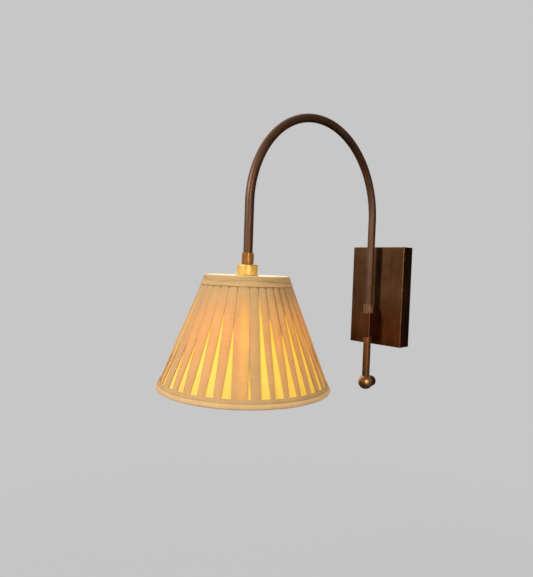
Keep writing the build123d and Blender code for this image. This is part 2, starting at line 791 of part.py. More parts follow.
# Ball under the post
with BuildPart() as ball_finial:
    with Locations((0, post_y, ball_z)):
        Sphere(ball_r)
    with Locations((0, post_y, ball_top_z)):
        Box(ball, ball, ball, align=(Align.CENTER, Align.CENTER, Align.MIN), mode=Mode.SUBTRACT)
    with Locations((0, ball_flat_y, ball_z)):
        Box(ball, ball, ball, align=(Align.CENTER, Align.MIN, Align.CENTER), mode=Mode.SUBTRACT)
    add(
        rod((0, post_y, ball_top_z), (0, post_y, ball_top_z - ball_spigot - slip), 2 * spigot_r + 2 * slip),
        mode=Mode.SUBTRACT,
    )
    add(rod((0, post_y, ball_top_z), (0, post_y, ball_z), 2 * bore_r - 2 * slip), mode=Mode.SUBTRACT)
    add(
        rod(
            (0, ball_flat_y, ball_z),
            (0, ball_flat_y - switch_body_length - 2 * slip, ball_z),
            switch_body + 2 * slip,
        ),
        mode=Mode.SUBTRACT,
    )
ball_finial.part.label = "ball_finial"

# Switch body inside the ball
switch_face_y = ball_flat_y - slip
with BuildPart() as switch_cartridge:
    add(rod((0, switch_face_y, ball_z), (0, switch_face_y - switch_body_length, ball_z), switch_body))
    spindle_end_y = switch_face_y - spindle_in_body
    add(
        rod((0, switch_face_y, ball_z), (0, spindle_end_y - parting, ball_z), spindle + 2 * running),
        mode=Mode.SUBTRACT,
    )
switch_cartridge.part.label = "switch_cartridge"

# Spindle and turn key of the switch
key_base_y = ball_flat_y + parting
key_base_r = sqrt(1 - ball_flat**2) * ball_r
key_end_y = post_y + key_reach
with BuildPart() as switch_spindle:
    add(
        rod(
            (0, spindle_end_y, ball_z),
            (0, key_base_y + spindle_in_key - slip, ball_z),
            spindle,
        )
    )
switch_spindle.part.label = "switch_spindle"

with BuildPart() as switch_key:
    outline = [
        (0, key_base_y - post_y),
        (key_base_r, key_base_y - post_y),
        (key_tip / 2, key_reach),
        (0, key_reach),
    ]
    revolve(profile(key_plane, outline), axis=key_axis)
    tip = switch_key.edges().filter_by(GeomType.CIRCLE).sort_by(Axis.Y)[-1]
    fillet(tip, key_tip * 0.35)
    socket_end_y = key_base_y + spindle_in_key
    add(rod((0, key_base_y, ball_z), (0, socket_end_y, ball_z), spindle + slip), mode=Mode.SUBTRACT)
    for k in range(key_flutes):
        angle = radians((k + 0.5) * 360 / key_flutes)
        start_r = key_base_r + key_flute * 0.35
        end_r = key_tip / 2 + key_flute * 0.3
        start = (start_r * sin(angle), key_base_y - parting, ball_z + start_r * cos(angle))
        end = (end_r * sin(angle), key_end_y + parting, ball_z + end_r * cos(angle))
        add(rod(start, end, key_flute), mode=Mode.SUBTRACT)
switch_key.part.label = "switch_key"

# Flex inside the arm, from the switch up the post and along the arch to the lampholder
arm_flex_start_z = ball_z + switch_body / 2 + slip
with BuildPart() as arm_flex:
    with BuildLine() as flex_route:
        Line((0, post_y, arm_flex_start_z), (0, post_y, arch_spring_z))
        ThreePointArc(
            (0, post_y, arch_spring_z),
            (0, arch_y, arch_spring_z + arch_radius),
            (0, lamp_y, arch_spring_z),
        )
        Line((0, lamp_y, arch_spring_z), (0, lamp_y, core_top_z))
    with BuildSketch(Plane((0, post_y, arm_flex_start_z))):
        Circle(flex / 2)
    sweep()
arm_flex.part.label = "arm_flex"

pieces = [
    backplate,
    wall_bracket,
    bracket_screws,
    earth_screw,
    terminal_block,
    terminal_screws,
    pivot_block,
    block_screws,
    upper_bush,
    lower_bush,
    swing_stop,
    drag_pad,
    drag_screw,
    base_flex,
    pivot_post,
    post_collar,
    collar_screw,
    arm_tube,
    arm_coupler,
    holder_nipple,
    lampholder_cap,
    lampholder_barrel,
    lampholder_core,
    screw_shell,
    centre_contact,
    bulb_base,
    bulb_skirt,
    bulb_globe,
    clamp_ring,
    shade_frame,
    shade_spider,
    shade_lining,
    shade_pleats,
    top_binding,
    bottom_binding,
    ball_finial,
    switch_cartridge,
    switch_spindle,
    switch_key,
    arm_flex,
]
os.makedirs("parts", exist_ok=True)
for piece in pieces:
    export_step(piece.part, f"parts/{piece.part.label}.step")
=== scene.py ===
import json
import math
import random

import bpy
from mathutils import Matrix, Vector, noise


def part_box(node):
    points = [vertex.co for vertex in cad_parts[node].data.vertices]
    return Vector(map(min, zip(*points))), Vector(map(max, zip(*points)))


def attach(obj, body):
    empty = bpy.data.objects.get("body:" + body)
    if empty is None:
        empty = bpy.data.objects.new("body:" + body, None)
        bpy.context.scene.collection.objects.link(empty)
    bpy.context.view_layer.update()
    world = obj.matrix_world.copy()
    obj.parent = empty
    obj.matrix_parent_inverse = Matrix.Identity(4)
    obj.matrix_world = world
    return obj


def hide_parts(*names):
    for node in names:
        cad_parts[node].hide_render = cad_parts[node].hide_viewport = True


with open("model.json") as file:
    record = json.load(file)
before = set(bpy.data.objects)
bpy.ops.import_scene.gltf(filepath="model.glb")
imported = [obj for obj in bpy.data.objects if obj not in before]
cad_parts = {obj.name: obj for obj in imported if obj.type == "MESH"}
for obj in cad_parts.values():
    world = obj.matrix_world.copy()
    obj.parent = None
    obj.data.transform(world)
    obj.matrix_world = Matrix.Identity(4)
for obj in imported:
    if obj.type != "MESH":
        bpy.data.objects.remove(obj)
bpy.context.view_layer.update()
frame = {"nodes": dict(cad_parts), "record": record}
nodes = frame["nodes"]
scene = bpy.context.scene
print("frame loaded:", len(nodes), "pieces")

scene.view_settings.view_transform = "Standard"
cameraPlace = {
    "spot": (0.4532, -0.6771, 0.03795), "round": 46.72, "above": 2.40, "lean": 1.98,
    "lens": 32.13, "film": 36.0, "nearest": 0.01,
}


def outward(turn, rise):  # degrees round from the wall's front, then up from level
    turn, rise = math.radians(turn), math.radians(rise)
    return Vector((math.sin(turn) * math.cos(rise), -math.cos(turn) * math.cos(rise), math.sin(rise)))


def show(name, data):
    piece = bpy.data.objects.new(name, data)
    scene.collection.objects.link(piece)
    return piece


def makeCamera(place):
    back = outward(place["round"], place["above"])
    right = (-back).cross(Vector((0, 0, 1))).normalized()
    up = right.cross(-back)
    lean = math.radians(place["lean"])
    side = right * math.cos(lean) + up * math.sin(lean)
    head = up * math.cos(lean) - right * math.sin(lean)
    lens = bpy.data.cameras.new("photoCamera")
    lens.sensor_width = place["film"]
    lens.lens = place["lens"]
    lens.clip_start = place["nearest"]
    camera = show("photoCamera", lens)
    turned = Matrix((side, head, back)).transposed().to_4x4()
    camera.matrix_world = Matrix.Translation(place["spot"]) @ turned
    scene.camera = camera


makeCamera(cameraPlace)
print("camera placed")


def feed(tree, node, values):  # links or sets sockets by their names or numbers
    for key, value in dict(values).items():
        if isinstance(value, bpy.types.NodeSocket):
            tree.links.new(value, node.inputs[key])
        else:
            node.inputs[key].default_value = value


def put(tree, kind, values=(), **given):
    node = tree.nodes.new(kind)
    for name, value in given.items():
        setattr(node, name, value)
    feed(tree, node, values)
    return node


def reckon(tree, how, *values, clamp=False):
    return put(tree, "ShaderNodeMath", enumerate(values), operation=how, use_clamp=clamp).outputs[0]


def times(tree, first, second, clamp=False):
    return reckon(tree, "MULTIPLY", first, second, clamp=clamp)


def weighed(tree, values, shares):  # each value times its share, added up
    parts = [times(tree, value, share) for value, share in zip(values, shares)]
    total = parts[0]
    for part in parts[1:]:
        total = reckon(tree, "ADD", total, part)
    return total


def lifted(tree, value, share, base, clamp=False):
    return reckon(tree, "MULTIPLY_ADD", value, share, base, clamp=clamp)


def centred(tree, value, span):  # swings to both sides of nothing
    return lifted(tree, value, span, -span / 2)


def vectors(tree, how, *values):  # sums on places and colours
    node = put(tree, "ShaderNodeVectorMath", enumerate(values), operation=how)
    return node.outputs["Value" if how in ("DOT_PRODUCT", "LENGTH") else "Vector"]


def scaled(tree, colour, strength):
    return put(tree, "ShaderNodeVectorMath", {0: colour, "Scale": strength}, operation="SCALE").outputs[0]


def split(tree, place):
    return put(tree, "ShaderNodeSeparateXYZ", {0: place}).outputs


def joined(tree, *values):
    return put(tree, "ShaderNodeCombineXYZ", enumerate(values)).outputs[0]


def blendColour(tree, share, first, second, how="MIX"):
    values = {0: share, 6: first, 7: second}
    return put(tree, "ShaderNodeMix", values, data_type="RGBA", blend_type=how).outputs[2]


def cloud(tree, place, scale, detail=3.0, rough=0.55):
    values = {"Vector": place, "Scale": scale, "Detail": detail, "Roughness": rough}
    return put(tree, "ShaderNodeTexNoise", values).outputs[0]


def spanned(tree, value, low, high, newLow=0.0, newHigh=1.0):
    values = enumerate((value, low, high, newLow, newHigh))
    return put(tree, "ShaderNodeMapRange", values, interpolation_type="SMOOTHSTEP").outputs[0]


def inPatches(tree, mask, place, look, clamp=False):
    return times(tree, mask, spanned(tree, cloud(tree, place, *look["patches"]), *look["patchy"]), clamp)


def shades(tree, value, spots, colours):
    node = put(tree, "ShaderNodeValToRGB", {0: value})
    ramp = node.color_ramp
    while len(ramp.elements) < len(spots):
        ramp.elements.new(0.5)
    for element, spot, colour in zip(ramp.elements, spots, colours):
        element.position = spot
        element.color = (*colour, 1.0)
    return node.outputs[0]


def makeGroup(name, places, values, gives):
    group = bpy.data.node_groups.new(name, "ShaderNodeTree")
    sockets = ((places, "INPUT", "Vector"), (values, "INPUT", "Float"), (gives, "OUTPUT", "Float"))
    for labels, way, kind in sockets:
        for label in labels.split():
            group.interface.new_socket(name=label, in_out=way, socket_type="NodeSocket" + kind)
    return group, put(group, "NodeGroupInput").outputs, put(group, "NodeGroupOutput")


def useGroup(tree, group, **values):
    return put(tree, "ShaderNodeGroup", values, node_tree=group).outputs


weaveLook = {"slubShort": 0.9, "slubLong": 0.03, "slubDetail": 2.0, "thinnest": 0.5}


def makeWeave():  # plain weave, one thread over and one under
    group, got, out = makeGroup("plainWeave", "", "across along threads", "height slub")
    threads = [times(group, got[way], got["threads"]) for way in ("across", "along")]
    arches = []
    for thread in threads:
        wave = reckon(group, "SINE", times(group, thread, math.pi))
        arches.append(reckon(group, "ABSOLUTE", wave))
    cell = reckon(group, "ADD", *(reckon(group, "FLOOR", thread) for thread in threads))
    odd = reckon(group, "FLOORED_MODULO", cell, 2.0)
    arch = weighed(group, arches, (odd, reckon(group, "SUBTRACT", 1.0, odd)))
    short, long = weaveLook["slubShort"], weaveLook["slubLong"]
    slubs = []
    for shares in ((short, long), (long, short)):
        lay = [times(group, thread, share) for thread, share in zip(threads, shares)]
        slubs.append(cloud(group, joined(group, *lay), 1.0, weaveLook["slubDetail"]))
    slub = times(group, reckon(group, "ADD", *slubs), 0.5)
    thick = reckon(group, "ADD", slub, weaveLook["thinnest"])
    feed(group, out, {"height": times(group, arch, thick), "slub": slub})
    return group


rubbing = {"bends": (0.015, 0.16), "looks": 4, "patches": (160.0, 4.0), "patchy": (0.36, 0.62, 0.25, 1.0)}


def makeRubbedEdge():  # finds the corners that hands and cloths rub bright
    group, got, out = makeGroup("rubbedEdge", "place", "width", "mask")
    soft = put(group, "ShaderNodeBevel", {"Radius": got["width"]}, samples=rubbing["looks"]).outputs[0]
    meet = vectors(group, "DOT_PRODUCT", soft, put(group, "ShaderNodeNewGeometry").outputs["Normal"])
    edge = spanned(group, reckon(group, "SUBTRACT", 1.0, meet), *rubbing["bends"])
    feed(group, out, {"mask": inPatches(group, edge, got["place"], rubbing, clamp=True)})
    return group


boxWearHighlightAndSideShade = {"side": (0.0002, 0.0008), "patches": (140.0, 4.0), "patchy": (0.34, 0.60, 0.30, 1.0)}


def makeBoxEdge():  # finds the edges of a square piece from its size, which get wear and a painted edge highlight, and its sides, which get painted shade
    group, got, out = makeGroup("boxEdge", "place centre half", "width", "mask side")
    away = vectors(group, "ABSOLUTE", vectors(group, "SUBTRACT", got["place"], got["centre"]))
    inside = split(group, vectors(group, "SUBTRACT", got["half"], away))
    near = [spanned(group, inside[axis], 0.0, got["width"], 1.0, 0.0) for axis in "XYZ"]
    pairs = [reckon(group, "MINIMUM", near[a], near[b]) for a, b in ((0, 1), (1, 2), (0, 2))]
    edge = reckon(group, "MAXIMUM", reckon(group, "MAXIMUM", pairs[0], pairs[1]), pairs[2])
    feed(group, out, {
        "mask": inPatches(group, edge, got["place"], boxWearHighlightAndSideShade, clamp=True),
        # the sides of the piece, for painted shade
        "side": spanned(group, inside["X"], *boxWearHighlightAndSideShade["side"], 1.0, 0.0),
    })
    return group


patinaLook = {
    "mottle": (30.0, 5.0, 0.6), "grain": (420.0, 3.0), "drift": (13.0, 2.0),  # how fine each cloud is
    "combed": (800.0, 800.0, 20.0), "brushed": (1.0, 2.0),
    "shares": (0.56, 0.16, 0.28), "reliefShares": (0.5, 0.5),
    "mottleGloss": 0.20, "brushGloss": 0.12, "rubbedGloss": 0.08,
}


def makePatina():  # brown oxide over bronze, mottled and lightly brushed
    look = patinaLook
    group, got, out = makeGroup("bronzePatina", "place", "rubbed", "tone drift roughness height")
    mottle, grain, drift = (cloud(group, got["place"], *look[kind]) for kind in ("mottle", "grain", "drift"))
    brushed = cloud(group, vectors(group, "MULTIPLY", got["place"], look["combed"]), *look["brushed"])
    dull = centred(group, mottle, look["mottleGloss"])
    dull = reckon(group, "ADD", dull, centred(group, brushed, look["brushGloss"]))
    bright = times(group, got["rubbed"], look["rubbedGloss"])
    feed(group, out, {
        "tone": weighed(group, (mottle, grain, brushed), look["shares"]),
        "drift": drift,
        "roughness": reckon(group, "SUBTRACT", dull, bright),
        "height": weighed(group, (grain, brushed), look["reliefShares"]),
    })
    return group


turningLook = {"fine": (1.0, 3.0, 0.7), "tint": (70.0, 4.0), "shares": (0.4, 0.6)}


def makeTurning():  # fine lines that a lathe tool leaves round a piece
    group, got, out = makeGroup("turningLines", "place", "lines", "height tone")
    climb = times(group, split(group, got["place"])["Z"], got["lines"])
    fine = cloud(group, joined(group, 0.0, 0.0, climb), *turningLook["fine"])
    tint = cloud(group, got["place"], *turningLook["tint"])
    feed(group, out, {"height": fine, "tone": weighed(group, (fine, tint), turningLook["shares"])})
    return group


dustLook = {"facing": (0.55, 0.98), "patches": (90.0, 5.0, 0.65), "patchy": (0.38, 0.66)}


def makeDust():  # thin dust on what faces up
    group, got, out = makeGroup("settledDust", "place", "", "mask")
    facing = split(group, put(group, "ShaderNodeNewGeometry").outputs["Normal"])
    up = spanned(group, facing["Z"], *dustLook["facing"])
    feed(group, out, {"mask": inPatches(group, up, got["place"], dustLook)})
    return group


weave = makeWeave()
rubbedEdge = makeRubbedEdge()
boxEdge = makeBoxEdge()
patina = makePatina()
turning = makeTurning()
dust = makeDust()
print("shared effects made")


def newMaterial(name):
    material = bpy.data.materials.new(name)
    material.use_nodes = True
    tree = material.node_tree
    shader = next(n for n in tree.nodes if n.type == "BSDF_PRINCIPLED")
    return material, tree, shader, put(tree, "ShaderNodeTexCoord").outputs["Object"]


def relieve(tree, shader, height, distance, strength):
    values = {"Strength": strength, "Distance": distance, "Height": height}
    feed(tree, shader, {"Normal": put(tree, "ShaderNodeBump", values).outputs[0]})


bronzeSkin = {  # holds for every bronze piece whose own look says nothing else
    "square": None, "edge": 0.0008, "shine": 0.50, "rough": 0.50, "dusty": 0.06, "red": (0.40, 0.62),
    "lacquer": 0.0, "lacquerRough": 0.46, "depth": 0.00003,
    "stops": (0.36, 0.50, 0.64), "handled": (3.2, 3.2, 1.4), "sway": 0.12,
    # painted shade on the sides of square pieces
    "paintedSideShadeShare": 0.10, "paintedSideShadeBrown": (0.016, 0.0110, 0.005, 1.0),
    "redStops": (0.0, 1.0), "redTints": ((1.0, 0.74, 0.52), (0.96, 1.0, 1.0)),
    "dust": (0.30, 0.27, 0.23, 1.0), "dustRough": 0.3, "edgeMetal": 0.25,
}
bronzeLooks = {  # how each kind of bronze piece was made and handled
    # on Sheet and Bar the edge colour is wear and a painted edge highlight
    "Sheet": {
        "tones": ((0.112, 0.0465, 0.0200), (0.151, 0.0675, 0.0300), (0.194, 0.0920, 0.0425)),
        "edgeColour": (0.42, 0.210, 0.090), "edge": 0.0019, "edgeShare": 0.80, "square": "backplate",
        "red": (-0.055, 0.020), "metal": 0.94, "shine": 0.20, "tint": (0.55, 0.36, 0.24), "relief": 0.5,
    },
    "Bar": {
        "tones": ((0.088, 0.0285, 0.0120), (0.140, 0.0500, 0.0215), (0.200, 0.0780, 0.0360)),
        "edgeColour": (0.36, 0.165, 0.070), "edge": 0.0014, "edgeShare": 0.70, "square": "pivot_block",
        "red": (-0.20, 0.10), "metal": 0.90, "shine": 0.20, "tint": (0.55, 0.36, 0.24), "relief": 0.5,
    },
    "Tube": {
        "tones": ((0.098, 0.0475, 0.0245), (0.130, 0.0660, 0.0355), (0.165, 0.0880, 0.0480)),
        "edgeColour": (0.46, 0.260, 0.120), "edge": 0.0006, "edgeShare": 0.08, "metal": 0.62, "shine": 0.48,
        "dusty": 0.08, "tint": (0.95, 0.78, 0.62), "relief": 0.1, "lacquer": 0.5,
    },
    "Post": {
        "tones": ((0.340, 0.1600, 0.0660), (0.510, 0.2550, 0.1090), (0.690, 0.3800, 0.1720)),
        "edgeColour": (0.50, 0.270, 0.110), "edge": 0.0006, "edgeShare": 0.60, "metal": 0.86, "shine": 0.35,
        "rough": 0.38, "tint": (0.95, 0.82, 0.70), "relief": 0.25, "lacquer": 0.3,
    },
    "Turned": {
        "tones": ((0.150, 0.0680, 0.0330), (0.240, 0.1150, 0.0580), (0.340, 0.1750, 0.0900)),
        "edgeColour": (0.50, 0.290, 0.140), "edgeShare": 0.90, "metal": 0.40, "rough": 0.30,
        "tint": (0.90, 0.74, 0.60), "relief": 0.4,
    },
    # the coupler's bronze is painted brighter and more orange: painted warm lamp light from below, over its
    # own bronze
    "Sleeve": {
        "tones": ((0.320, 0.1300, 0.0310), (0.470, 0.2050, 0.0530), (0.600, 0.2950, 0.0860)),
        "edgeColour": (0.62, 0.370, 0.160), "edgeShare": 0.90, "metal": 0.40, "rough": 0.30,
        "dusty": 0.04, "tint": (0.90, 0.70, 0.50), "relief": 0.3,
    },
    "Ball": {
        "tones": ((0.400, 0.1900, 0.0760), (0.900, 0.5900, 0.3100), (1.000, 0.8200, 0.5800)),
        "edgeColour": (0.90, 0.600, 0.310), "edgeShare": 0.70, "metal": 0.90, "rough": 0.44,
        "dusty": 0.03, "tint": (1.0, 0.90, 0.80), "relief": 0.2, "lacquer": 0.6,
    },
    # the switch key's bronze is painted near black: painted shade
    "Knob": {
        "tones": ((0.030, 0.0150, 0.0080), (0.055, 0.0280, 0.0130), (0.085, 0.0440, 0.0200)),
        "edgeColour": (0.14, 0.070, 0.032), "edge": 0.0007, "edgeShare": 0.60, "metal": 0.10, "shine": 0.25,
        "rough": 0.40, "dusty": 0.03, "tint": (0.90, 0.80, 0.70), "relief": 0.4,
    },
}
bronzeKind = {  # every other bronze piece is turned
    "backplate": "Sheet", "pivot_block": "Bar", "bracket_screws": "Bar", "drag_screw": "Bar",
    "pivot_post": "Post", "arm_coupler": "Sleeve", "ball_finial": "Ball", "switch_key": "Knob",
}


def makeBronze(kind):
    look = {**bronzeSkin, **bronzeLooks[kind]}
    material, tree, shader, place = newMaterial("bronze" + kind)
    if kind == "Tube":  # the drawn tube's lines follow its bend
        place = put(tree, "ShaderNodeAttribute", attribute_name="straight").outputs["Vector"]
    if kind == "Ball":  # handled most, so its brown is rubbed through in streaks
        place = vectors(tree, "MULTIPLY", place, look["handled"])
    if look["square"]:
        low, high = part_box(look["square"])
        size = {"centre": (low + high) / 2, "half": (high - low) / 2}
        found = useGroup(tree, boxEdge, place=place, width=look["edge"], **size)
    else:
        found = useGroup(tree, rubbedEdge, place=place, width=look["edge"])
    edge = times(tree, found["mask"], look["edgeShare"])
    skin = useGroup(tree, patina, place=place, rubbed=edge)
    brown = shades(tree, skin["tone"], look["stops"], look["tones"])
    drift = skin["drift"]
    if look["square"]:  # the plate's and block's colour turns redder towards their foot, painted warm light from the lamp below over random oxide drift, and their sides get painted shade
        drift = reckon(tree, "ADD", split(tree, place)["Z"], centred(tree, drift, look["sway"]))
        side = times(tree, found["side"], look["paintedSideShadeShare"])
        brown = blendColour(tree, side, brown, look["paintedSideShadeBrown"])
    tint = shades(tree, spanned(tree, drift, *look["red"]), look["redStops"], look["redTints"])
    brown = blendColour(tree, 1.0, brown, tint, "MULTIPLY")
    # edges take the edge colour: wear, and on square pieces also a painted edge highlight
    colour = blendColour(tree, edge, brown, (*look["edgeColour"], 1.0))
    settled = times(tree, useGroup(tree, dust, place=place)["mask"], look["dusty"])
    rough = reckon(tree, "ADD", skin["roughness"], look["rough"])
    metal = lifted(tree, edge, look["edgeMetal"], look["metal"])
    feed(tree, shader, {
        "Base Color": blendColour(tree, settled, colour, look["dust"]),
        "Roughness": lifted(tree, settled, look["dustRough"], rough, clamp=True),
        "Metallic": reckon(tree, "SUBTRACT", metal, settled, clamp=True),
        "Specular IOR Level": look["shine"],
        "Specular Tint": (*look["tint"], 1.0),
        "Coat Weight": look["lacquer"],
        "Coat Roughness": look["lacquerRough"],
    })
    relieve(tree, shader, skin["height"], look["depth"], look["relief"])
    return material


brassLook = {
    "lines": 5200.0, "edge": 0.0005, "edgeShare": 0.4, "edgeColour": (0.95, 0.76, 0.42, 1.0),
    "stops": (0.32, 0.62), "rough": (0.24, 0.34), "metal": 0.60, "relief": (0.00003, 0.5),
}


def makeBrass(name, pale, deep):
    look = brassLook
    material, tree, shader, place = newMaterial(name)
    marks = useGroup(tree, turning, place=place, lines=look["lines"])
    edge = useGroup(tree, rubbedEdge, place=place, width=look["edge"])["mask"]
    colour = shades(tree, marks["tone"], look["stops"], (deep, pale))
    colour = blendColour(tree, times(tree, edge, look["edgeShare"]), colour, look["edgeColour"])
    rough = lifted(tree, marks["tone"], *look["rough"])
    feed(tree, shader, {"Base Color": colour, "Roughness": rough, "Metallic": look["metal"]})
    relieve(tree, shader, marks["height"], *look["relief"])
    return material


platedLook = {
    "spangle": 380.0, "smear": (60.0, 4.0), "shares": (0.35, 0.65), "stops": (0.25, 0.70),
    "rough": (0.30, 0.22), "metal": 0.75, "relief": (0.00004, 0.4),
}


def makePlated(name, pale, deep):
    look = platedLook
    material, tree, shader, place = newMaterial(name)
    spangle = put(tree, "ShaderNodeTexVoronoi", {"Scale": look["spangle"], "Vector": place})
    grey = put(tree, "ShaderNodeRGBToBW", {0: spangle.outputs["Color"]})
    smear = cloud(tree, place, *look["smear"])
    tone = weighed(tree, (grey.outputs[0], smear), look["shares"])
    colour = shades(tree, tone, look["stops"], (deep, pale))
    rough = lifted(tree, tone, *look["rough"])
    feed(tree, shader, {"Base Color": colour, "Roughness": rough, "Metallic": look["metal"]})
    relieve(tree, shader, smear, *look["relief"])
    return material


mouldedLook = {
    "flow": (55.0, 4.0), "pits": (1400.0, 2.0), "shares": (0.8, 0.2), "stops": (0.30, 0.70),
    "rough": 0.18, "relief": (0.00004, 0.6),
}


def makeMoulded(name, pale, deep, gloss):
    look = mouldedLook
    material, tree, shader, place = newMaterial(name)
    pits = cloud(tree, place, *look["pits"])
    tone = weighed(tree, (cloud(tree, place, *look["flow"]), pits), look["shares"])
    colour = shades(tree, tone, look["stops"], (deep, pale))
    rough = lifted(tree, pits, look["rough"], gloss)
    feed(tree, shader, {"Base Color": colour, "Roughness": rough})
    relieve(tree, shader, pits, *look["relief"])
    return material


opalLook = {
    "rise": (-0.060, -0.020), "milk": (40.0, 3.0), "shares": (0.7, 0.3), "strength": 12.0,
    "glowStops": (0.15, 0.85), "glow": ((1.0, 0.79, 0.44), (1.0, 0.66, 0.27)),
    "stops": (0.3, 0.7), "tones": ((0.90, 0.86, 0.78), (0.97, 0.94, 0.88)),
    "rough": (0.12, 0.10), "relief": (0.00003, 0.3),
}


def makeOpal(name):  # milky glass, lit from inside and warmer towards its cap
    look = opalLook
    material, tree, shader, place = newMaterial(name)
    rise = spanned(tree, split(tree, place)["Z"], *look["rise"])
    milk = cloud(tree, place, *look["milk"])
    tone = weighed(tree, (rise, milk), look["shares"])
    feed(tree, shader, {
        "Emission Color": shades(tree, tone, look["glowStops"], look["glow"]),
        "Emission Strength": look["strength"],
        "Base Color": shades(tree, milk, look["stops"], look["tones"]),
        "Roughness": lifted(tree, milk, *look["rough"]),
    })
    relieve(tree, shader, milk, *look["relief"])
    return material


clothLook = {  # what the three cloths share
    "stain": (42.0, 4.0), "shares": (0.55, 0.30, 0.15), "stops": (0.32, 0.50, 0.68), "rough": (-0.12, 0.92),
    "shine": 0.25, "sheen": 0.15, "sheenRough": 0.5, "relief": 0.6,
}


def clothBase(name, look):
    material, tree, shader, place = newMaterial(name)
    cut = split(tree, put(tree, "ShaderNodeUVMap", uv_map="cut").outputs[0])
    thread = useGroup(tree, weave, across=cut["X"], along=cut["Y"], threads=look["threads"])
    stain = cloud(tree, place, *clothLook["stain"])
    tone = weighed(tree, (thread["slub"], stain, thread["height"]), clothLook["shares"])
    feed(tree, shader, {
        "Roughness": lifted(tree, thread["height"], *clothLook["rough"]),
        "Specular IOR Level": clothLook["shine"],
        "Sheen Weight": clothLook["sheen"],
        "Sheen Roughness": clothLook["sheenRough"],
        "Emission Strength": 1.0,
    })
    relieve(tree, shader, thread["height"], look["depth"], clothLook["relief"])
    return material, tree, shader, tone, shades(tree, tone, clothLook["stops"], look["tones"])


def reading(tree, name):
    return put(tree, "ShaderNodeAttribute", attribute_name=name).outputs["Fac"]


pleatCloth = {
    "threads": 1900.0, "depth": 0.00012,  # threads in a metre
    "tones": ((0.42, 0.265, 0.115), (0.51, 0.330, 0.150), (0.58, 0.390, 0.188)),
    # unlit and warmed: the base colour is painted warmer where the lamp glows; folded and single: colours of
    # the painted lamp light through folded and single cloth
    "unlit": (1.0, 1.0, 1.0, 1.0), "warmed": (1.0, 0.96, 0.75, 1.0),
    "folded": (0.43, 0.072, 0.0, 1.0), "single": (0.80, 0.50, 0.0, 1.0), "uneven": (0.9, 0.55),
}


def makePleatCloth():
    look = pleatCloth
    material, tree, shader, tone, colour = clothBase("pleatCloth", look)
    # the bulb's light through the cloth is painted as emission from the glow and opening attributes
    lamp = reading(tree, "glow")
    warmed = blendColour(tree, lamp, look["unlit"], look["warmed"])
    through = blendColour(tree, reading(tree, "opening"), look["folded"], look["single"])
    light = times(tree, lamp, lifted(tree, tone, *look["uneven"]))
    feed(tree, shader, {
        "Base Color": blendColour(tree, 1.0, colour, warmed, "MULTIPLY"),
        "Emission Color": scaled(tree, through, light),
    })
    return material


bindingCloth = {
    "threads": 1700.0, "depth": 0.00014,
    "tones": ((0.385, 0.246, 0.107), (0.47, 0.310, 0.141), (0.535, 0.367, 0.177)),
    "glow": (0.30, 0.12, 0.02), "rim": (0.85, 0.74, 0.52), "uneven": (0.8, 0.6),
}


def makeBindingCloth():
    look = bindingCloth
    material, tree, shader, tone, colour = clothBase("bindingCloth", look)
    uneven = lifted(tree, tone, *look["uneven"])
    # painted lamp light through the bands as emission, plus painted light on the top band's inner rim and a
    # painted highlight on the foot roll
    glow = scaled(tree, look["glow"], times(tree, reading(tree, "glow"), uneven))
    rim = scaled(tree, look["rim"], reading(tree, "lit"))
    feed(tree, shader, {"Base Color": colour, "Emission Color": vectors(tree, "ADD", glow, rim)})
    return material


liningCloth = {
    "threads": 2400.0, "depth": 0.00008,
    "tones": ((0.76, 0.68, 0.54), (0.84, 0.78, 0.66), (0.88, 0.83, 0.73)),
    "glowStops": (0.3, 0.7), "glow": ((0.10, 0.07, 0.03), (0.16, 0.11, 0.05)),
}


def makeLiningCloth():
    look = liningCloth
    material, tree, shader, tone, colour = clothBase("liningCloth", look)
    # painted lamp light on the lining, as emission
    glow = shades(tree, tone, look["glowStops"], look["glow"])
    feed(tree, shader, {"Base Color": colour, "Emission Color": glow})
    return material


finishes = {
    "brass": makeBrass("brass", (0.86, 0.56, 0.165), (0.74, 0.43, 0.100)),
    "zinc_steel": makePlated("zincSteel", (0.68, 0.69, 0.69), (0.42, 0.43, 0.45)),
    "nickel": makePlated("nickel", (0.78, 0.76, 0.71), (0.52, 0.50, 0.46)),
    "white_plastic": makeMoulded("whitePlastic", (0.86, 0.85, 0.81), (0.76, 0.74, 0.69), 0.34),
    "dark_plastic": makeMoulded("darkPlastic", (0.050, 0.048, 0.046), (0.026, 0.025, 0.024), 0.42),
    "flex_sheath": makeMoulded("flexSheath", (0.74, 0.71, 0.64), (0.60, 0.57, 0.50), 0.46),
    "porcelain": makeMoulded("porcelain", (0.88, 0.87, 0.84), (0.80, 0.78, 0.74), 0.12),
    "opal_glass": makeOpal("opalGlass"),
    "shade_wire": makeMoulded("coatedWire", (0.82, 0.80, 0.75), (0.68, 0.65, 0.59), 0.36),
}
bronzes = {kind: makeBronze(kind) for kind in bronzeLooks}
pieceFinishes = {  # for the pieces made below
    "pleat_cloth": makePleatCloth(),
    "binding_cloth": makeBindingCloth(),
    "lining_cloth": makeLiningCloth(),
    "bronze": bronzes["Tube"],
    "flex_sheath": finishes["flex_sheath"],
}
print("materials made")

for part in frame["record"]["subparts"]:
    finish = finishes.get(part["material_slot"])
    if part["material_slot"] == "bronze":
        finish = bronzes[bronzeKind.get(part["node"], "Turned")]
    if finish:
        node = nodes[part["node"]]
        node.data.materials.clear()
        node.data.materials.append(finish)
print("metal and plastic finished")

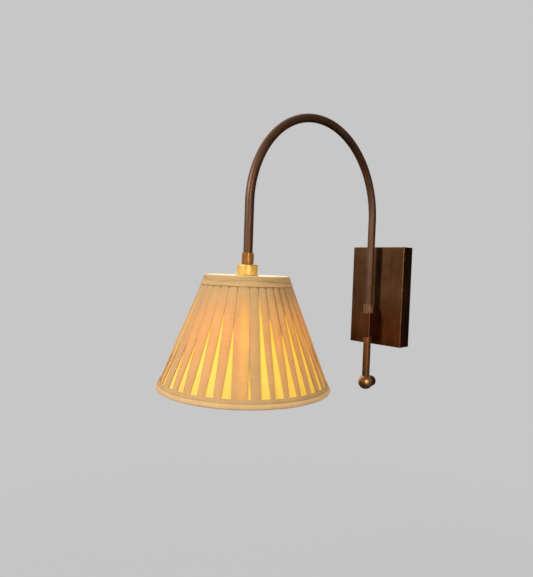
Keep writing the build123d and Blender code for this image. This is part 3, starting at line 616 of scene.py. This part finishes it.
shade = {
    "axis": (0.0, -0.282), "topZ": 0.0275, "footZ": -0.104, "topR": 0.04925, "footR": 0.1015,
    "bulbZ": -0.0388, "bulbPower": 0.0062,
    "baseShadow": 0.94, "shadowFrom": (-0.028, 0.020),  # the bulb's own base shades the top
}
shade["slope"] = (shade["footR"] - shade["topR"]) / (shade["topZ"] - shade["footZ"])
shade["slant"] = math.hypot(1.0, shade["slope"])


def coneRadius(z, depth=0.0):
    return shade["topR"] + (shade["topZ"] - z) * shade["slope"] - depth


def around(radius, angle, z):
    x, y = shade["axis"]
    return Vector((x + radius * math.cos(angle), y + radius * math.sin(angle), z))


def onCone(angle, z, depth):
    return around(coneRadius(z, depth), angle, z)


def ease(value, low, high):
    share = min(1.0, max(0.0, (value - low) / (high - low)))
    return share * share * (3 - 2 * share)


def wander(x, y, z):  # smooth chance between -1 and 1
    return noise.noise(Vector((x, y, z)))


def wanderRound(angle, wide, layer):
    return wander(math.cos(angle) * wide, math.sin(angle) * wide, layer)


def wanderFrom(place, scale, shift):
    return noise.noise(place * scale + Vector(shift))


def lampLight(z):  # how strongly the bulb lights the cloth at a height, 1 where it is strongest
    lean = math.atan(shade["slope"])
    radius, drop = coneRadius(z), z - shade["bulbZ"]
    reach = math.hypot(radius, drop)
    facing = (radius * math.cos(lean) + drop * math.sin(lean)) / reach
    shadow = 1 - shade["baseShadow"] * ease(z, *shade["shadowFrom"])
    return min(1.0, facing / reach**2 * shade["bulbPower"]) * shadow


def turns(steps):
    return [2 * math.pi * i / steps for i in range(steps)]


def lengths(points):
    total = [0.0]
    for a, b in zip(points, points[1:]):
        total.append(total[-1] + (b - a).length)
    return total


def girths(radius, steps):  # lengths along a ring, both ends of its cut counted
    return [2 * math.pi * radius * i / steps for i in range(steps + 1)]


def ringSheet(name, rings, across, down, marks):
    mesh = bpy.data.meshes.new(name)
    count = len(rings[0])
    faces, cuts = [], []
    for j in range(len(rings) - 1):
        for i in range(count):
            k = (i + 1) % count
            faces.append((j * count + i, (j + 1) * count + i, (j + 1) * count + k, j * count + k))
            for a, b in ((i, j), (i, j + 1), (i + 1, j + 1), (i + 1, j)):
                cuts += [across[a], down[b]]
    mesh.from_pydata([p for ring in rings for p in ring], [], faces)
    mesh.uv_layers.new(name="cut").uv.foreach_set("vector", cuts)
    for label, values in marks.items():
        mesh.attributes.new(label, "FLOAT", "POINT").data.foreach_set("value", values)
    mesh.shade_smooth()
    mesh.update()
    return show(name, mesh)


def finishPiece(piece, body, node, slotName):
    piece.data.materials.append(pieceFinishes[slotName])
    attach(piece, body)
    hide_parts(node)


cover = {
    "seed": 41, "topZ": 0.0245, "footZ": -0.1022, "bandTop": 0.016, "bandFoot": -0.094,
    "topRows": (0.0245, 0.0192, 0.0170, 0.0160, 0.0151, 0.0141, 0.0128), "rows": 38,
    "gapsSeen": (-106.3, -94.5, -84.0, -72.8, -62.0, -51.3, -37.5, -27.5, -18.5, -8.8, 0.2, 9.8, 20.5, 31.2),
    "opensSeen": (0.60, 0.57, 0.49, 0.31, 0.22, 0.36, 0.70, 0.05, 0.28, 0.42, 0.24, 0.30, 0.33, 0.38),
    "widthSeen": (0.52, 0.54, 0.54, 0.55, 0.56, 0.60, 0.20, 0.58, 0.58, 0.55, 0.54, 0.52, 0.50, 0.50),
    "glowSeen": (0.45, 0.78, 0.83, 0.89, 0.89, 0.91, 0.42, 0.70, 0.90, 0.88, 0.94, 0.92, 0.88, 0.84),
    "thinSeen": (0.0, 0.0, 0.0, 0.0, 0.0, 0.0, 0.10, 0.08, 0.12, 0.10, 0.12, 0.12, 0.12, 0.12),
    "creaseSeen": (0.10, 0.10, 0.10, 0.12, 0.25, 0.40, 0.20, 0.5, 0.8, 0.9, 1.0, 1.0, 1.0, 1.0),
    "bareSeen": (0.9, 0.95, 1.0, 1.0, 1.0, 1.0, 0.9, 1.0, 1.0, 0.92, 0.88, 0.86, 0.86, 0.86),
    "hiddenSway": 0.5,
    "hiddenTraits": {  # the far side's pleats vary between these
        "opens": (0.12, 0.58), "width": (0.50, 0.58), "glow": (0.60, 1.0),
        "thin": (0.0, 0.4), "crease": (0.1, 1.0), "bare": (0.8, 1.0),
    },
    "gapCount": 36, "seam": 5, "pitch": 0.1700, "spread": 0.92, "opening": (-0.01, 0.05),
    "sway": 0.0045, "swayFlow": (3.7, 24.0, 2.0),
    "tuckFoot": 0.0019, "tuckMost": 0.46, "tuckAcross": (0.5, 0.94, 1.0, 0.94, 0.5),
    "strip": 0.00085, "middle": 0.00145, "gap": 0.00210,  # depths of the three layers below the cone
    "across": (-1.0, -0.92, -0.74, -0.40, 0.0, 0.40, 0.74, 0.92, 1.0),
    "gapAcross": (0.0, 0.14, 0.5, 0.86, 1.0),
    "crown": 0.00030, "crownFlush": 0.6, "puff": 0.00022, "puffFlow": (5.1, 0.8, 30.0, 9.0),
    "fold": 0.00028, "foldFlush": 0.85, "turnIn": 0.00006, "shut": 0.00005, "groove": 0.00044,
    "pit": 0.00042, "pitDepth": 0.0009, "pitFoot": (0.0128, 0.0150), "pitTop": (0.0165, 0.0185),
    "press": 0.00035, "pressTop": (0.0135, 0.0165), "pressFoot": (0.0925, 0.0945),  # by the two bands
}
coverGlow = {  # how much of the bulb's light is painted as glow on each part of a pleat, with painted shade in folds, creases and the pits under the top band
    "hidden": (0.19, 0.06), "hiddenPit": 0.85, "fade": (0.57, 0.21), "flush": 1.15,
    "gapFade": 0.3, "gapEdge": 0.92, "fold": (0.80, 0.60),
    "layers": (0.72, 0.28), "layersFrom": (-0.25, 0.2), "edge": (0.10, 0.38), "edgeFrom": (0.90, 1.0),
    "stripPit": 0.5, "seam": 0.20, "seamFrom": (-0.15, 0.05),
}


def layPleats():
    chance = random.Random(cover["seed"])
    gaps = []
    for k, spot in enumerate(cover["gapsSeen"]):
        traits = {trait: cover[trait + "Seen"][k] for trait in cover["hiddenTraits"]}
        gaps.append({"at": math.radians(spot), **traits})
    hidden = cover["gapCount"] - len(gaps)
    first, last = cover["gapsSeen"][0] + 360, cover["gapsSeen"][-1]
    for k in range(1, hidden + 1):
        sway = chance.uniform(-cover["hiddenSway"], cover["hiddenSway"])
        spot = last + (first - last) * k / (hidden + 1) + sway
        traits = {trait: chance.uniform(*span) for trait, span in cover["hiddenTraits"].items()}
        gaps.append({"at": math.radians(spot), **traits})
    return gaps


def gapHalf(gap, share, radius, pit):
    spread = max(0.0, (share - gap["opens"]) / (1 - gap["opens"])) ** cover["spread"]
    shut = cover["shut"] + cover["groove"] * gap["crease"] ** 2 + cover["pit"] * pit
    return shut / radius + 0.5 * gap["width"] * cover["pitch"] * spread


def pleatRing(gaps, z):
    share = (cover["bandTop"] - z) / (cover["bandTop"] - cover["bandFoot"])
    press = cover["press"] * max(ease(z, *cover["pressTop"]), ease(-z, *cover["pressFoot"]))
    radius = coneRadius(z, cover["strip"])
    light = lampLight(z)
    pit = ease(z, *cover["pitFoot"]) * (1 - ease(z, *cover["pitTop"]))
    strip, middle, deep = cover["strip"], cover["middle"], cover["gap"]
    lip = (middle - strip) / 2
    least, more = coverGlow["hidden"]
    # painted shade: tucked-in folds and the pits under the band get little painted glow
    hidden = (least + more * light) * (1 - coverGlow["hiddenPit"] * pit)
    tucked = list(zip(cover["tuckAcross"], (deep, deep, (deep + middle) / 2, middle, middle)))
    points, glows, bares = [], [], []

    def lay(angle, depth, glow, bare):
        points.append(onCone(angle, z, depth + press))
        glows.append(glow)
        bares.append(bare)

    spots, halves, opened, meets, creaseShades = [], [], [], [], []
    for k, gap in enumerate(gaps):
        apart, climb, layer = cover["swayFlow"]
        spots.append(gap["at"] + cover["sway"] * wander(k * apart, z * climb, layer))
        halves.append(gapHalf(gap, share, radius, pit))
        opened.append(ease(share, *(gap["opens"] + step for step in cover["opening"])))
        meets.append((1 - opened[k]) * (1 - gap["crease"]) * (1 - pit))  # edges that lie flush don't show
        creaseShades.append(gap["crease"] * (1 - opened[k]))
    for k, gap in enumerate(gaps):
        following = (k + 1) % len(gaps)
        turn = 2 * math.pi if following == 0 else 0.0
        gapLeft, left = spots[k] - halves[k], spots[k] + halves[k]
        right = spots[following] + turn - halves[following]
        width = right - left
        pitch = gaps[following]["at"] + turn - gap["at"]
        spare = (pitch * coneRadius(cover["footZ"]) - pitch * radius) / 4  # two layers on each side
        tuck = min(cover["tuckFoot"] + spare, cover["tuckMost"] * width * radius) / radius
        fade, creaseFade = coverGlow["fade"]
        shine = gap["glow"] * light ** (fade + creaseFade * gap["crease"])
        valley = hidden + (coverGlow["flush"] * shine - hidden) * meets[k]
        for step in cover["gapAcross"]:
            bright = light ** coverGlow["gapFade"] * (coverGlow["gapEdge"] if step in (0.0, 1.0) else 1.0)
            glow = valley + (bright - valley) * opened[k]
            angle = gapLeft + (left - gapLeft) * step
            lay(angle, deep + cover["pitDepth"] * pit, glow, gap["bare"] * opened[k])
        for along, depth in tucked:  # folded in behind the strip on its left
            lay(left + tuck * along, depth, hidden, 0.0)
        folds, edges = [], []
        for n in (k, following):
            folds.append(cover["fold"] * (1 - cover["foldFlush"] * meets[n]) / radius)
            clear, creased = coverGlow["fold"]
            edge = shine * (clear - creased * creaseShades[n])
            edges.append(edge + (shine - edge) * meets[n])
        lay(left + folds[0], middle - cover["turnIn"], hidden, 0.0)
        lay(left, strip + lip * (1 - meets[k]), edges[0], gap["thin"])
        single = max(0.0, 1 - tuck / (width / 2))
        for u in cover["across"]:
            near = k if u < 0 else following
            apart, step, climb, layer = cover["puffFlow"]
            puff = cover["puff"] * wander(k * apart + u * step, z * climb, layer)
            double, more = coverGlow["layers"]
            layers = double + more * ease(single - abs(u), *coverGlow["layersFrom"])
            clear, creased = coverGlow["edge"]
            edge = (clear + creased * creaseShades[near]) * ease(abs(u), *coverGlow["edgeFrom"])
            glow = shine * layers * (1 - edge * (1 - meets[near])) * (1 - coverGlow["stripPit"] * pit)
            thin = gap["thin"]
            if k == cover["seam"]:  # the wide seam pleat is painted with a lighter glow past its seam
                past = coverGlow["seam"] * ease(u, *coverGlow["seamFrom"])
                glow *= 1 + past
                thin += past
            crown = cover["crown"] * (1 - u * u) * (1 - cover["crownFlush"] * meets[near])
            angle = left + folds[0] + (width - folds[0] - folds[1]) * (u + 1) / 2
            lay(angle, strip - crown + puff, glow, thin)
        lay(right, strip + lip * (1 - meets[following]), edges[1], gap["thin"])
        lay(right - folds[1], middle - cover["turnIn"], hidden, 0.0)
        for along, depth in reversed(tucked):  # and behind it on its right
            lay(right - tuck * along, depth, hidden, 0.0)
    return points, glows, bares


def makeCover():
    gaps = layPleats()
    rings, glow, bare, down = [], [], [], []
    start, rows = cover["topRows"][-1], cover["rows"]
    levels = [start + (cover["footZ"] - start) * j / rows for j in range(1, rows + 1)]
    for z in (*cover["topRows"], *levels):
        points, glows, bares = pleatRing(gaps, z)
        rings.append(points)
        glow += glows
        bare += bares
        down.append((cover["topZ"] - z) * shade["slant"])
    across = lengths(rings[-1] + rings[-1][:1])
    piece = ringSheet("pleatedCover", rings, across, down, {"glow": glow, "opening": bare})
    finishPiece(piece, "arm", "shade_pleats", "pleat_cloth")


makeCover()


def bandWave(band, angle, z):  # how a sewn band wrinkles and sways at one spot
    wide, lift, climb = band["wrinkleFlow"]
    flow = Vector((math.cos(angle) * wide + z * lift, math.sin(angle) * wide, z * climb))
    crease = noise.noise(flow) + band["fine"] * wanderFrom(flow, *band["fineFlow"])
    return crease, band["sway"] * wanderRound(angle, *band["swayFlow"])


def makeBand(name, node, band, rows, layCloth):
    rings, glow, lit = [], [], []
    for radius, z, part in rows:
        ring = []
        for angle in turns(band["steps"]):
            out, level, lamp, rim = layCloth(radius, angle, z, part)
            ring.append(around(radius + out, angle, level))
            glow.append(lamp)
            lit.append(rim)
        rings.append(ring)
    down = lengths([Vector((radius, 0, z)) for radius, z, part in rows])
    across = girths(band["girth"], band["steps"])
    piece = ringSheet(name, rings, across, down, {"glow": glow, "lit": lit})
    finishPiece(piece, "arm", node, "binding_cloth")


topBand = {
    "over": (
        (0.04508, 0.02602), (0.04500, 0.02650), (0.04525, 0.02705), (0.04610, 0.02742),
        (0.04725, 0.02750), (0.04835, 0.02732), (0.04912, 0.02680),
    ),
    "face": (0.02590, 0.01690, 20),
    "hem": (
        (0.00006, 0.01632), (0.00024, 0.01598), (0.00046, 0.01600),
        (0.00058, 0.01640), (0.00060, 0.01760), (0.00060, 0.01900),
    ),
    "loose": {"over": 0.35, "face": 1.0, "hem": 0.25},
    "steps": 480, "girth": 0.0500,
    "wrinkle": 0.00050, "wrinkleFlow": (3.2, 60, 110), "fine": 0.4, "fineFlow": (2.3, (7, 1, 3)),
    "sway": 0.00025, "swayFlow": (3, 5.0), "swayFrom": (-0.021, -0.0165),
    "drag": 0.00090, "dragWidth": 0.0010,  # one long fold that the sewing has drawn in
    "dragLine": (0.0210, 0.0034), "dragFlow": (1.1, (0, 0, 6)),
    # dragShade: painted shade along the drawn-in fold
    "dragShown": (-0.35, 0.10), "dragShownFlow": (1.9, (3, 0, 2)), "dragShade": 0.9,
    # glow and faceGlow: painted lamp light through the band; rim: where the inner rim gets painted light
    "glow": 0.3, "faceGlow": (0.25, 0.35), "faceGlowFrom": (-0.024, -0.016), "rim": (0.0470, 0.0492),
}


def drawnIn(angle, z):
    turn = Vector((math.cos(angle), math.sin(angle), 0.0))
    height, drift = topBand["dragLine"]
    foldLine = height + drift * wanderFrom(turn, *topBand["dragFlow"])
    above = (z - foldLine) / topBand["dragWidth"]
    shown = ease(wanderFrom(turn, *topBand["dragShownFlow"]), *topBand["dragShown"])
    return math.exp(-above * above) * shown


def layTop(radius, angle, z, part):
    crease, sway = bandWave(topBand, angle, z)
    drawn = drawnIn(angle, z)
    out = topBand["wrinkle"] * crease - topBand["drag"] * drawn
    lamp = topBand["glow"]
    if part == "face":
        least, more = topBand["faceGlow"]
        lamp = least + more * ease(-z, *topBand["faceGlowFrom"])
    level = z + sway * ease(-z, *topBand["swayFrom"])
    # the fold's painted shade dims the painted glow
    lamp *= 1 - topBand["dragShade"] * drawn
    return out * topBand["loose"][part], level, lamp, 1 - ease(radius, *topBand["rim"])


def topRows():
    top, foot, count = topBand["face"]
    levels = [top + (foot - top) * j / count for j in range(count + 1)]
    rows = [(radius, z, "over") for radius, z in topBand["over"]]
    rows += [(coneRadius(z), z, "face") for z in levels]
    return rows + [(coneRadius(z, depth), z, "hem") for depth, z in topBand["hem"]]


makeBand("topBand", "top_binding", topBand, topRows(), layTop)

footBand = {  # depth below the cone and height of each row
    "hem": (
        (0.00062, -0.0962), (0.00062, -0.0950), (0.00060, -0.0943), (0.00046, -0.0940), (0.00022, -0.0941),
    ),
    "flat": (
        (0.00010, -0.0945), (0.00008, -0.0953), (0.00008, -0.0961), (0.00010, -0.0969), (0.00020, -0.0975),
    ),
    "groove": ((0.00046, -0.0979), (0.00056, -0.0982), (0.00030, -0.0984)),
    "roll": (
        (-0.00016, -0.0987), (-0.00048, -0.0992), (-0.00066, -0.0999), (-0.00070, -0.1007),
        (-0.00060, -0.1015), (-0.00034, -0.1023), (0.00012, -0.1030), (0.00078, -0.1035),
        (0.00168, -0.10385), (0.00280, -0.10395), (0.00395, -0.10375), (0.00485, -0.1032),
    ),
    "inside": (
        (0.00535, -0.1024), (0.00572, -0.1014), (0.00596, -0.1004),
        (0.00606, -0.0992), (0.00606, -0.0978), (0.00606, -0.0966),
    ),
    "loose": {"hem": 0.2, "flat": 0.8, "groove": 0.2, "roll": 1.0, "inside": 0.3},
    # painted lamp light through each part of the band, and a painted highlight on the roll
    "glow": {"hem": 0.12, "flat": 0.42, "groove": 0.12, "roll": 0.55, "inside": 0.8},
    "lit": {"roll": 0.09}, "swaying": ("hem", "flat", "groove"),
    "steps": 540, "girth": 0.0995,
    "wrinkle": 0.00022, "wrinkleFlow": (9, 60, 130), "fine": 0.5, "fineFlow": (2.6, (2, 8, 4)),
    "sway": 0.00022, "swayFlow": (5, 11.0),
}


def layFoot(radius, angle, z, part):
    crease, sway = bandWave(footBand, angle, z)
    out = footBand["wrinkle"] * footBand["loose"][part] * crease
    level = z + sway if part in footBand["swaying"] else z
    return out, level, footBand["glow"][part], footBand["lit"].get(part, 0.0)


footRows = [(coneRadius(z, depth), z, part) for part in footBand["loose"] for depth, z in footBand[part]]
makeBand("footBand", "bottom_binding", footBand, footRows, layFoot)

lining = {
    "topZ": 0.0262, "footZ": -0.1004, "depth": 0.00545, "rows": 34, "steps": 360, "girth": 0.070,
    "arms": (30, 150, 270), "dip": 0.0032, "dipWidth": (2.2, 4.6),  # dips where the frame's arms cross it
    "gather": 0.00022, "gathers": 78, "gatherDrift": 3, "gatherFlow": (4, 1.0),
    "gatherTop": 5.5, "gatherFoot": (0.4, 9),
    "slack": 0.0004, "slackFlow": (2.2, 22),
    "seam": 118.0, "seamRise": 0.00025, "seamWidth": (2.5, 3.5),
}


def degreesApart(angle, spot):
    return abs((math.degrees(angle) - spot + 180) % 360 - 180)


def liningPoint(angle, share):
    near = min(degreesApart(angle, arm) for arm in lining["arms"])
    top = lining["topZ"] - lining["dip"] * (1 - ease(near, *lining["dipWidth"]))
    z = top + (lining["footZ"] - top) * share
    wave = angle * lining["gathers"] + lining["gatherDrift"] * wanderRound(angle, *lining["gatherFlow"])
    footShare, footFade = lining["gatherFoot"]
    gather = lining["gather"] * math.sin(wave)
    gather *= math.exp(-share * lining["gatherTop"]) + footShare * math.exp(-(1 - share) * footFade)
    wide, climb = lining["slackFlow"]
    slack = lining["slack"] * wanderRound(angle, wide, z * climb) * math.sin(math.pi * share)
    ridge = lining["seamRise"] * (1 - ease(degreesApart(angle, lining["seam"]), *lining["seamWidth"]))
    return onCone(angle, z, lining["depth"] + abs(gather) + abs(slack) + ridge)


def makeLining():
    levels = [j / lining["rows"] for j in range(lining["rows"] + 1)]
    rings = [[liningPoint(angle, share) for angle in turns(lining["steps"])] for share in levels]
    down = [(lining["topZ"] - lining["footZ"]) * share * shade["slant"] for share in levels]
    piece = ringSheet("liningCloth", rings, girths(lining["girth"], lining["steps"]), down, {})
    finishPiece(piece, "arm", "shade_lining", "lining_cloth")


makeLining()
print("shade cloth made")

armTube = {
    "radius": 0.00544, "spigot": 0.0050, "bore": 0.0040,
    "wallLeg": (-0.040, -0.0183, -0.0129),  # y, then z of the spigot's end and of its shoulder
    "lampLeg": (-0.282, 0.0480, 0.0535),
    "springZ": 0.1115, "legSteps": 10, "archSteps": 128, "sides": 64, "sharp": 40,
}


def armRoute():  # up the wall leg, round the arch and down the lamp leg, with the way ahead
    wallY, wallEnd, wallFoot = armTube["wallLeg"]
    lampY, lampEnd, lampFoot = armTube["lampLeg"]
    reach, middle, spring = (wallY - lampY) / 2, (wallY + lampY) / 2, armTube["springZ"]
    up, down = Vector((0, 0, 1)), Vector((0, 0, -1))
    spigot, radius = armTube["spigot"], armTube["radius"]
    climb = [j / armTube["legSteps"] for j in range(armTube["legSteps"] + 1)]
    spots = [(wallY, wallEnd, up, spigot), (wallY, wallFoot, up, spigot)]
    spots += [(wallY, wallFoot + (spring - wallFoot) * share, up, radius) for share in climb]
    for i in range(1, armTube["archSteps"]):
        turn = math.pi * i / armTube["archSteps"]
        ahead = Vector((0, -math.sin(turn), math.cos(turn)))
        spots.append((middle + reach * math.cos(turn), spring + reach * math.sin(turn), ahead, radius))
    spots += [(lampY, spring + (lampFoot - spring) * share, down, radius) for share in climb]
    spots += [(lampY, lampFoot, down, spigot), (lampY, lampEnd, down, spigot)]
    return [(Vector((0, y, z)), ahead, thick) for y, z, ahead, thick in spots]


def makeArmTube():
    route = armRoute()
    travelled = lengths([spot for spot, ahead, radius in route])
    rings = [(*spot, far) for spot, far in zip(route, travelled)]
    inner = {far: (spot, ahead, armTube["bore"], far) for spot, ahead, radius, far in reversed(rings)}
    rings += inner.values()  # back through the bore
    sides, across = armTube["sides"], Vector((1, 0, 0))
    points, straight, faces = [], [], []
    for j, (spot, ahead, radius, far) in enumerate(rings):
        level = ahead.cross(across)
        following = (j + 1) % len(rings)
        for k, turn in enumerate(turns(sides)):
            points.append(spot + (across * math.cos(turn) + level * math.sin(turn)) * radius)
            straight += [radius * math.cos(turn), radius * math.sin(turn), far]
            n = (k + 1) % sides
            faces.append((j * sides + k, j * sides + n, following * sides + n, following * sides + k))
    mesh = bpy.data.meshes.new("armTube")
    mesh.from_pydata(points, [], faces)
    mesh.attributes.new("straight", "FLOAT_VECTOR", "POINT").data.foreach_set("vector", straight)
    mesh.shade_smooth()
    mesh.set_sharp_from_angle(angle=math.radians(armTube["sharp"]))
    mesh.update()
    finishPiece(show("armTube", mesh), "arm", "arm_tube", "bronze")


makeArmTube()
print("arm tube bent")

baseFlex = {
    "route": (
        (0.0, -0.009, 0.044), (0.0, -0.009, 0.0), (0.0, -0.009, -0.0395),
        (0.0, -0.022, -0.0395), (0.0, -0.0335, -0.0395),
    ),
    "radius": 0.0025, "rounds": 6, "steps": 24, "order": 3,
}


def makeBaseFlex():
    curve = bpy.data.curves.new("baseFlex", "CURVE")
    curve.dimensions = "3D"
    curve.bevel_depth = baseFlex["radius"]
    curve.bevel_resolution = baseFlex["rounds"]
    curve.use_fill_caps = True
    line = curve.splines.new("NURBS")
    line.points.add(len(baseFlex["route"]) - 1)
    for point, spot in zip(line.points, baseFlex["route"]):
        point.co = (*spot, 1.0)
    line.order_u = baseFlex["order"]
    line.use_endpoint_u = True
    line.resolution_u = baseFlex["steps"]
    finishPiece(show("baseFlex", curve), "wall_mount", "base_flex", "flex_sheath")


makeBaseFlex()
print("flex laid")

studio = {
    "grey": (0.571, 0.571, 0.571, 1.0), "daylight": (1.0, 0.985, 0.96, 1.0),
    "bright": 0.48, "dim": 0.03, "from": (-0.22, -0.48, 0.85), "spread": (0.2, 0.95),
    "mirrorShare": 0.15, "ceiling": 0.9,  # the ceiling is seen only in the metal
    "ceilingFrom": (-0.76, 0.30, 0.58), "ceilingSpread": (0.5, 0.95),
    "floorZ": -1.0, "floorHalf": 12.0, "floorRough": 0.9, "shadowShare": 0.15, "shadowReach": (0.8, 2.2),
    "lampColour": (1.0, 0.97, 0.93), "lampAim": (0, -0.16, 0.03),
}
lamps = {  # degrees round and up from the sconce, metres away and across, watts, seen in the metal
    "keyLight": (-8, 26, 2.2, 0.45, 36.0, True),
    "sideLight": (60, 12, 2.0, 0.6, 14.5, True),
    "fillLight": (112, 16, 2.2, 1.4, 13.5, False),
    "backLight": (227, 18, 2.4, 1.6, 22.0, False),
}


def seenStraight(tree):
    path = put(tree, "ShaderNodeLightPath")
    return reckon(tree, "MAXIMUM", path.outputs["Is Camera Ray"], path.outputs["Is Transmission Ray"])


def mixShaders(tree, share, first, second):
    values = enumerate((share, first.outputs[0], second.outputs[0]))
    return put(tree, "ShaderNodeMixShader", values).outputs[0]


def makeWorld():
    world = bpy.data.worlds.new("studio")
    scene.world = world
    world.use_nodes = True
    tree = world.node_tree
    tree.nodes.clear()
    aim = put(tree, "ShaderNodeTexCoord").outputs["Generated"]
    towards = vectors(tree, "DOT_PRODUCT", aim, studio["from"])
    strength = spanned(tree, towards, *studio["spread"], studio["dim"], studio["bright"])
    above = vectors(tree, "DOT_PRODUCT", aim, studio["ceilingFrom"])
    shone = spanned(tree, above, *studio["ceilingSpread"], 0.0, studio["ceiling"])
    shone = lifted(tree, strength, studio["mirrorShare"], shone)
    mirrored = put(tree, "ShaderNodeLightPath").outputs["Is Glossy Ray"]
    either = put(tree, "ShaderNodeMix", {0: mirrored, 2: strength, 3: shone}, data_type="FLOAT").outputs[0]
    soft = put(tree, "ShaderNodeBackground", {"Color": studio["daylight"], "Strength": either})
    plain = put(tree, "ShaderNodeBackground", {"Color": studio["grey"]})
    put(tree, "ShaderNodeOutputWorld", {0: mixShaders(tree, seenStraight(tree), soft, plain)})


def makeFloor():
    half = studio["floorHalf"]
    mesh = bpy.data.meshes.new("floor")
    corners = [(-half, -half), (half, -half), (half, half), (-half, half)]
    mesh.from_pydata([(x, y, 0.0) for x, y in corners], [], [(0, 1, 2, 3)])
    floor = show("floor", mesh)
    floor.location.z = studio["floorZ"]
    floor.visible_diffuse = False
    floor.visible_glossy = False
    material, tree, shader, place = newMaterial("paleFloor")
    feed(tree, shader, {
        "Base Color": studio["grey"], "Roughness": studio["floorRough"], "Specular IOR Level": 0.0,
    })
    plain = put(tree, "ShaderNodeEmission", {"Color": studio["grey"]})
    away = vectors(tree, "LENGTH", place)
    shown = spanned(tree, away, *studio["shadowReach"], studio["shadowShare"], 0.0)
    share = times(tree, seenStraight(tree), reckon(tree, "SUBTRACT", 1.0, shown))
    ending = next(n for n in tree.nodes if n.type == "OUTPUT_MATERIAL")
    feed(tree, ending, {"Surface": mixShaders(tree, share, shader, plain)})
    mesh.materials.append(material)


def makeLamp(name, turn, rise, far, size, power, mirrored):
    light = bpy.data.lights.new(name, "AREA")
    light.shape = "DISK"
    light.size = size
    light.energy = power
    light.color = studio["lampColour"]
    lamp = show(name, light)
    out = outward(turn, rise)
    facing = out.to_track_quat("Z", "Y").to_matrix().to_4x4()
    lamp.matrix_world = Matrix.Translation(Vector(studio["lampAim"]) + out * far) @ facing
    lamp.visible_glossy = mirrored


makeWorld()
makeFloor()
for name, settings in lamps.items():
    makeLamp(name, *settings)
print("studio lit")

print("done")
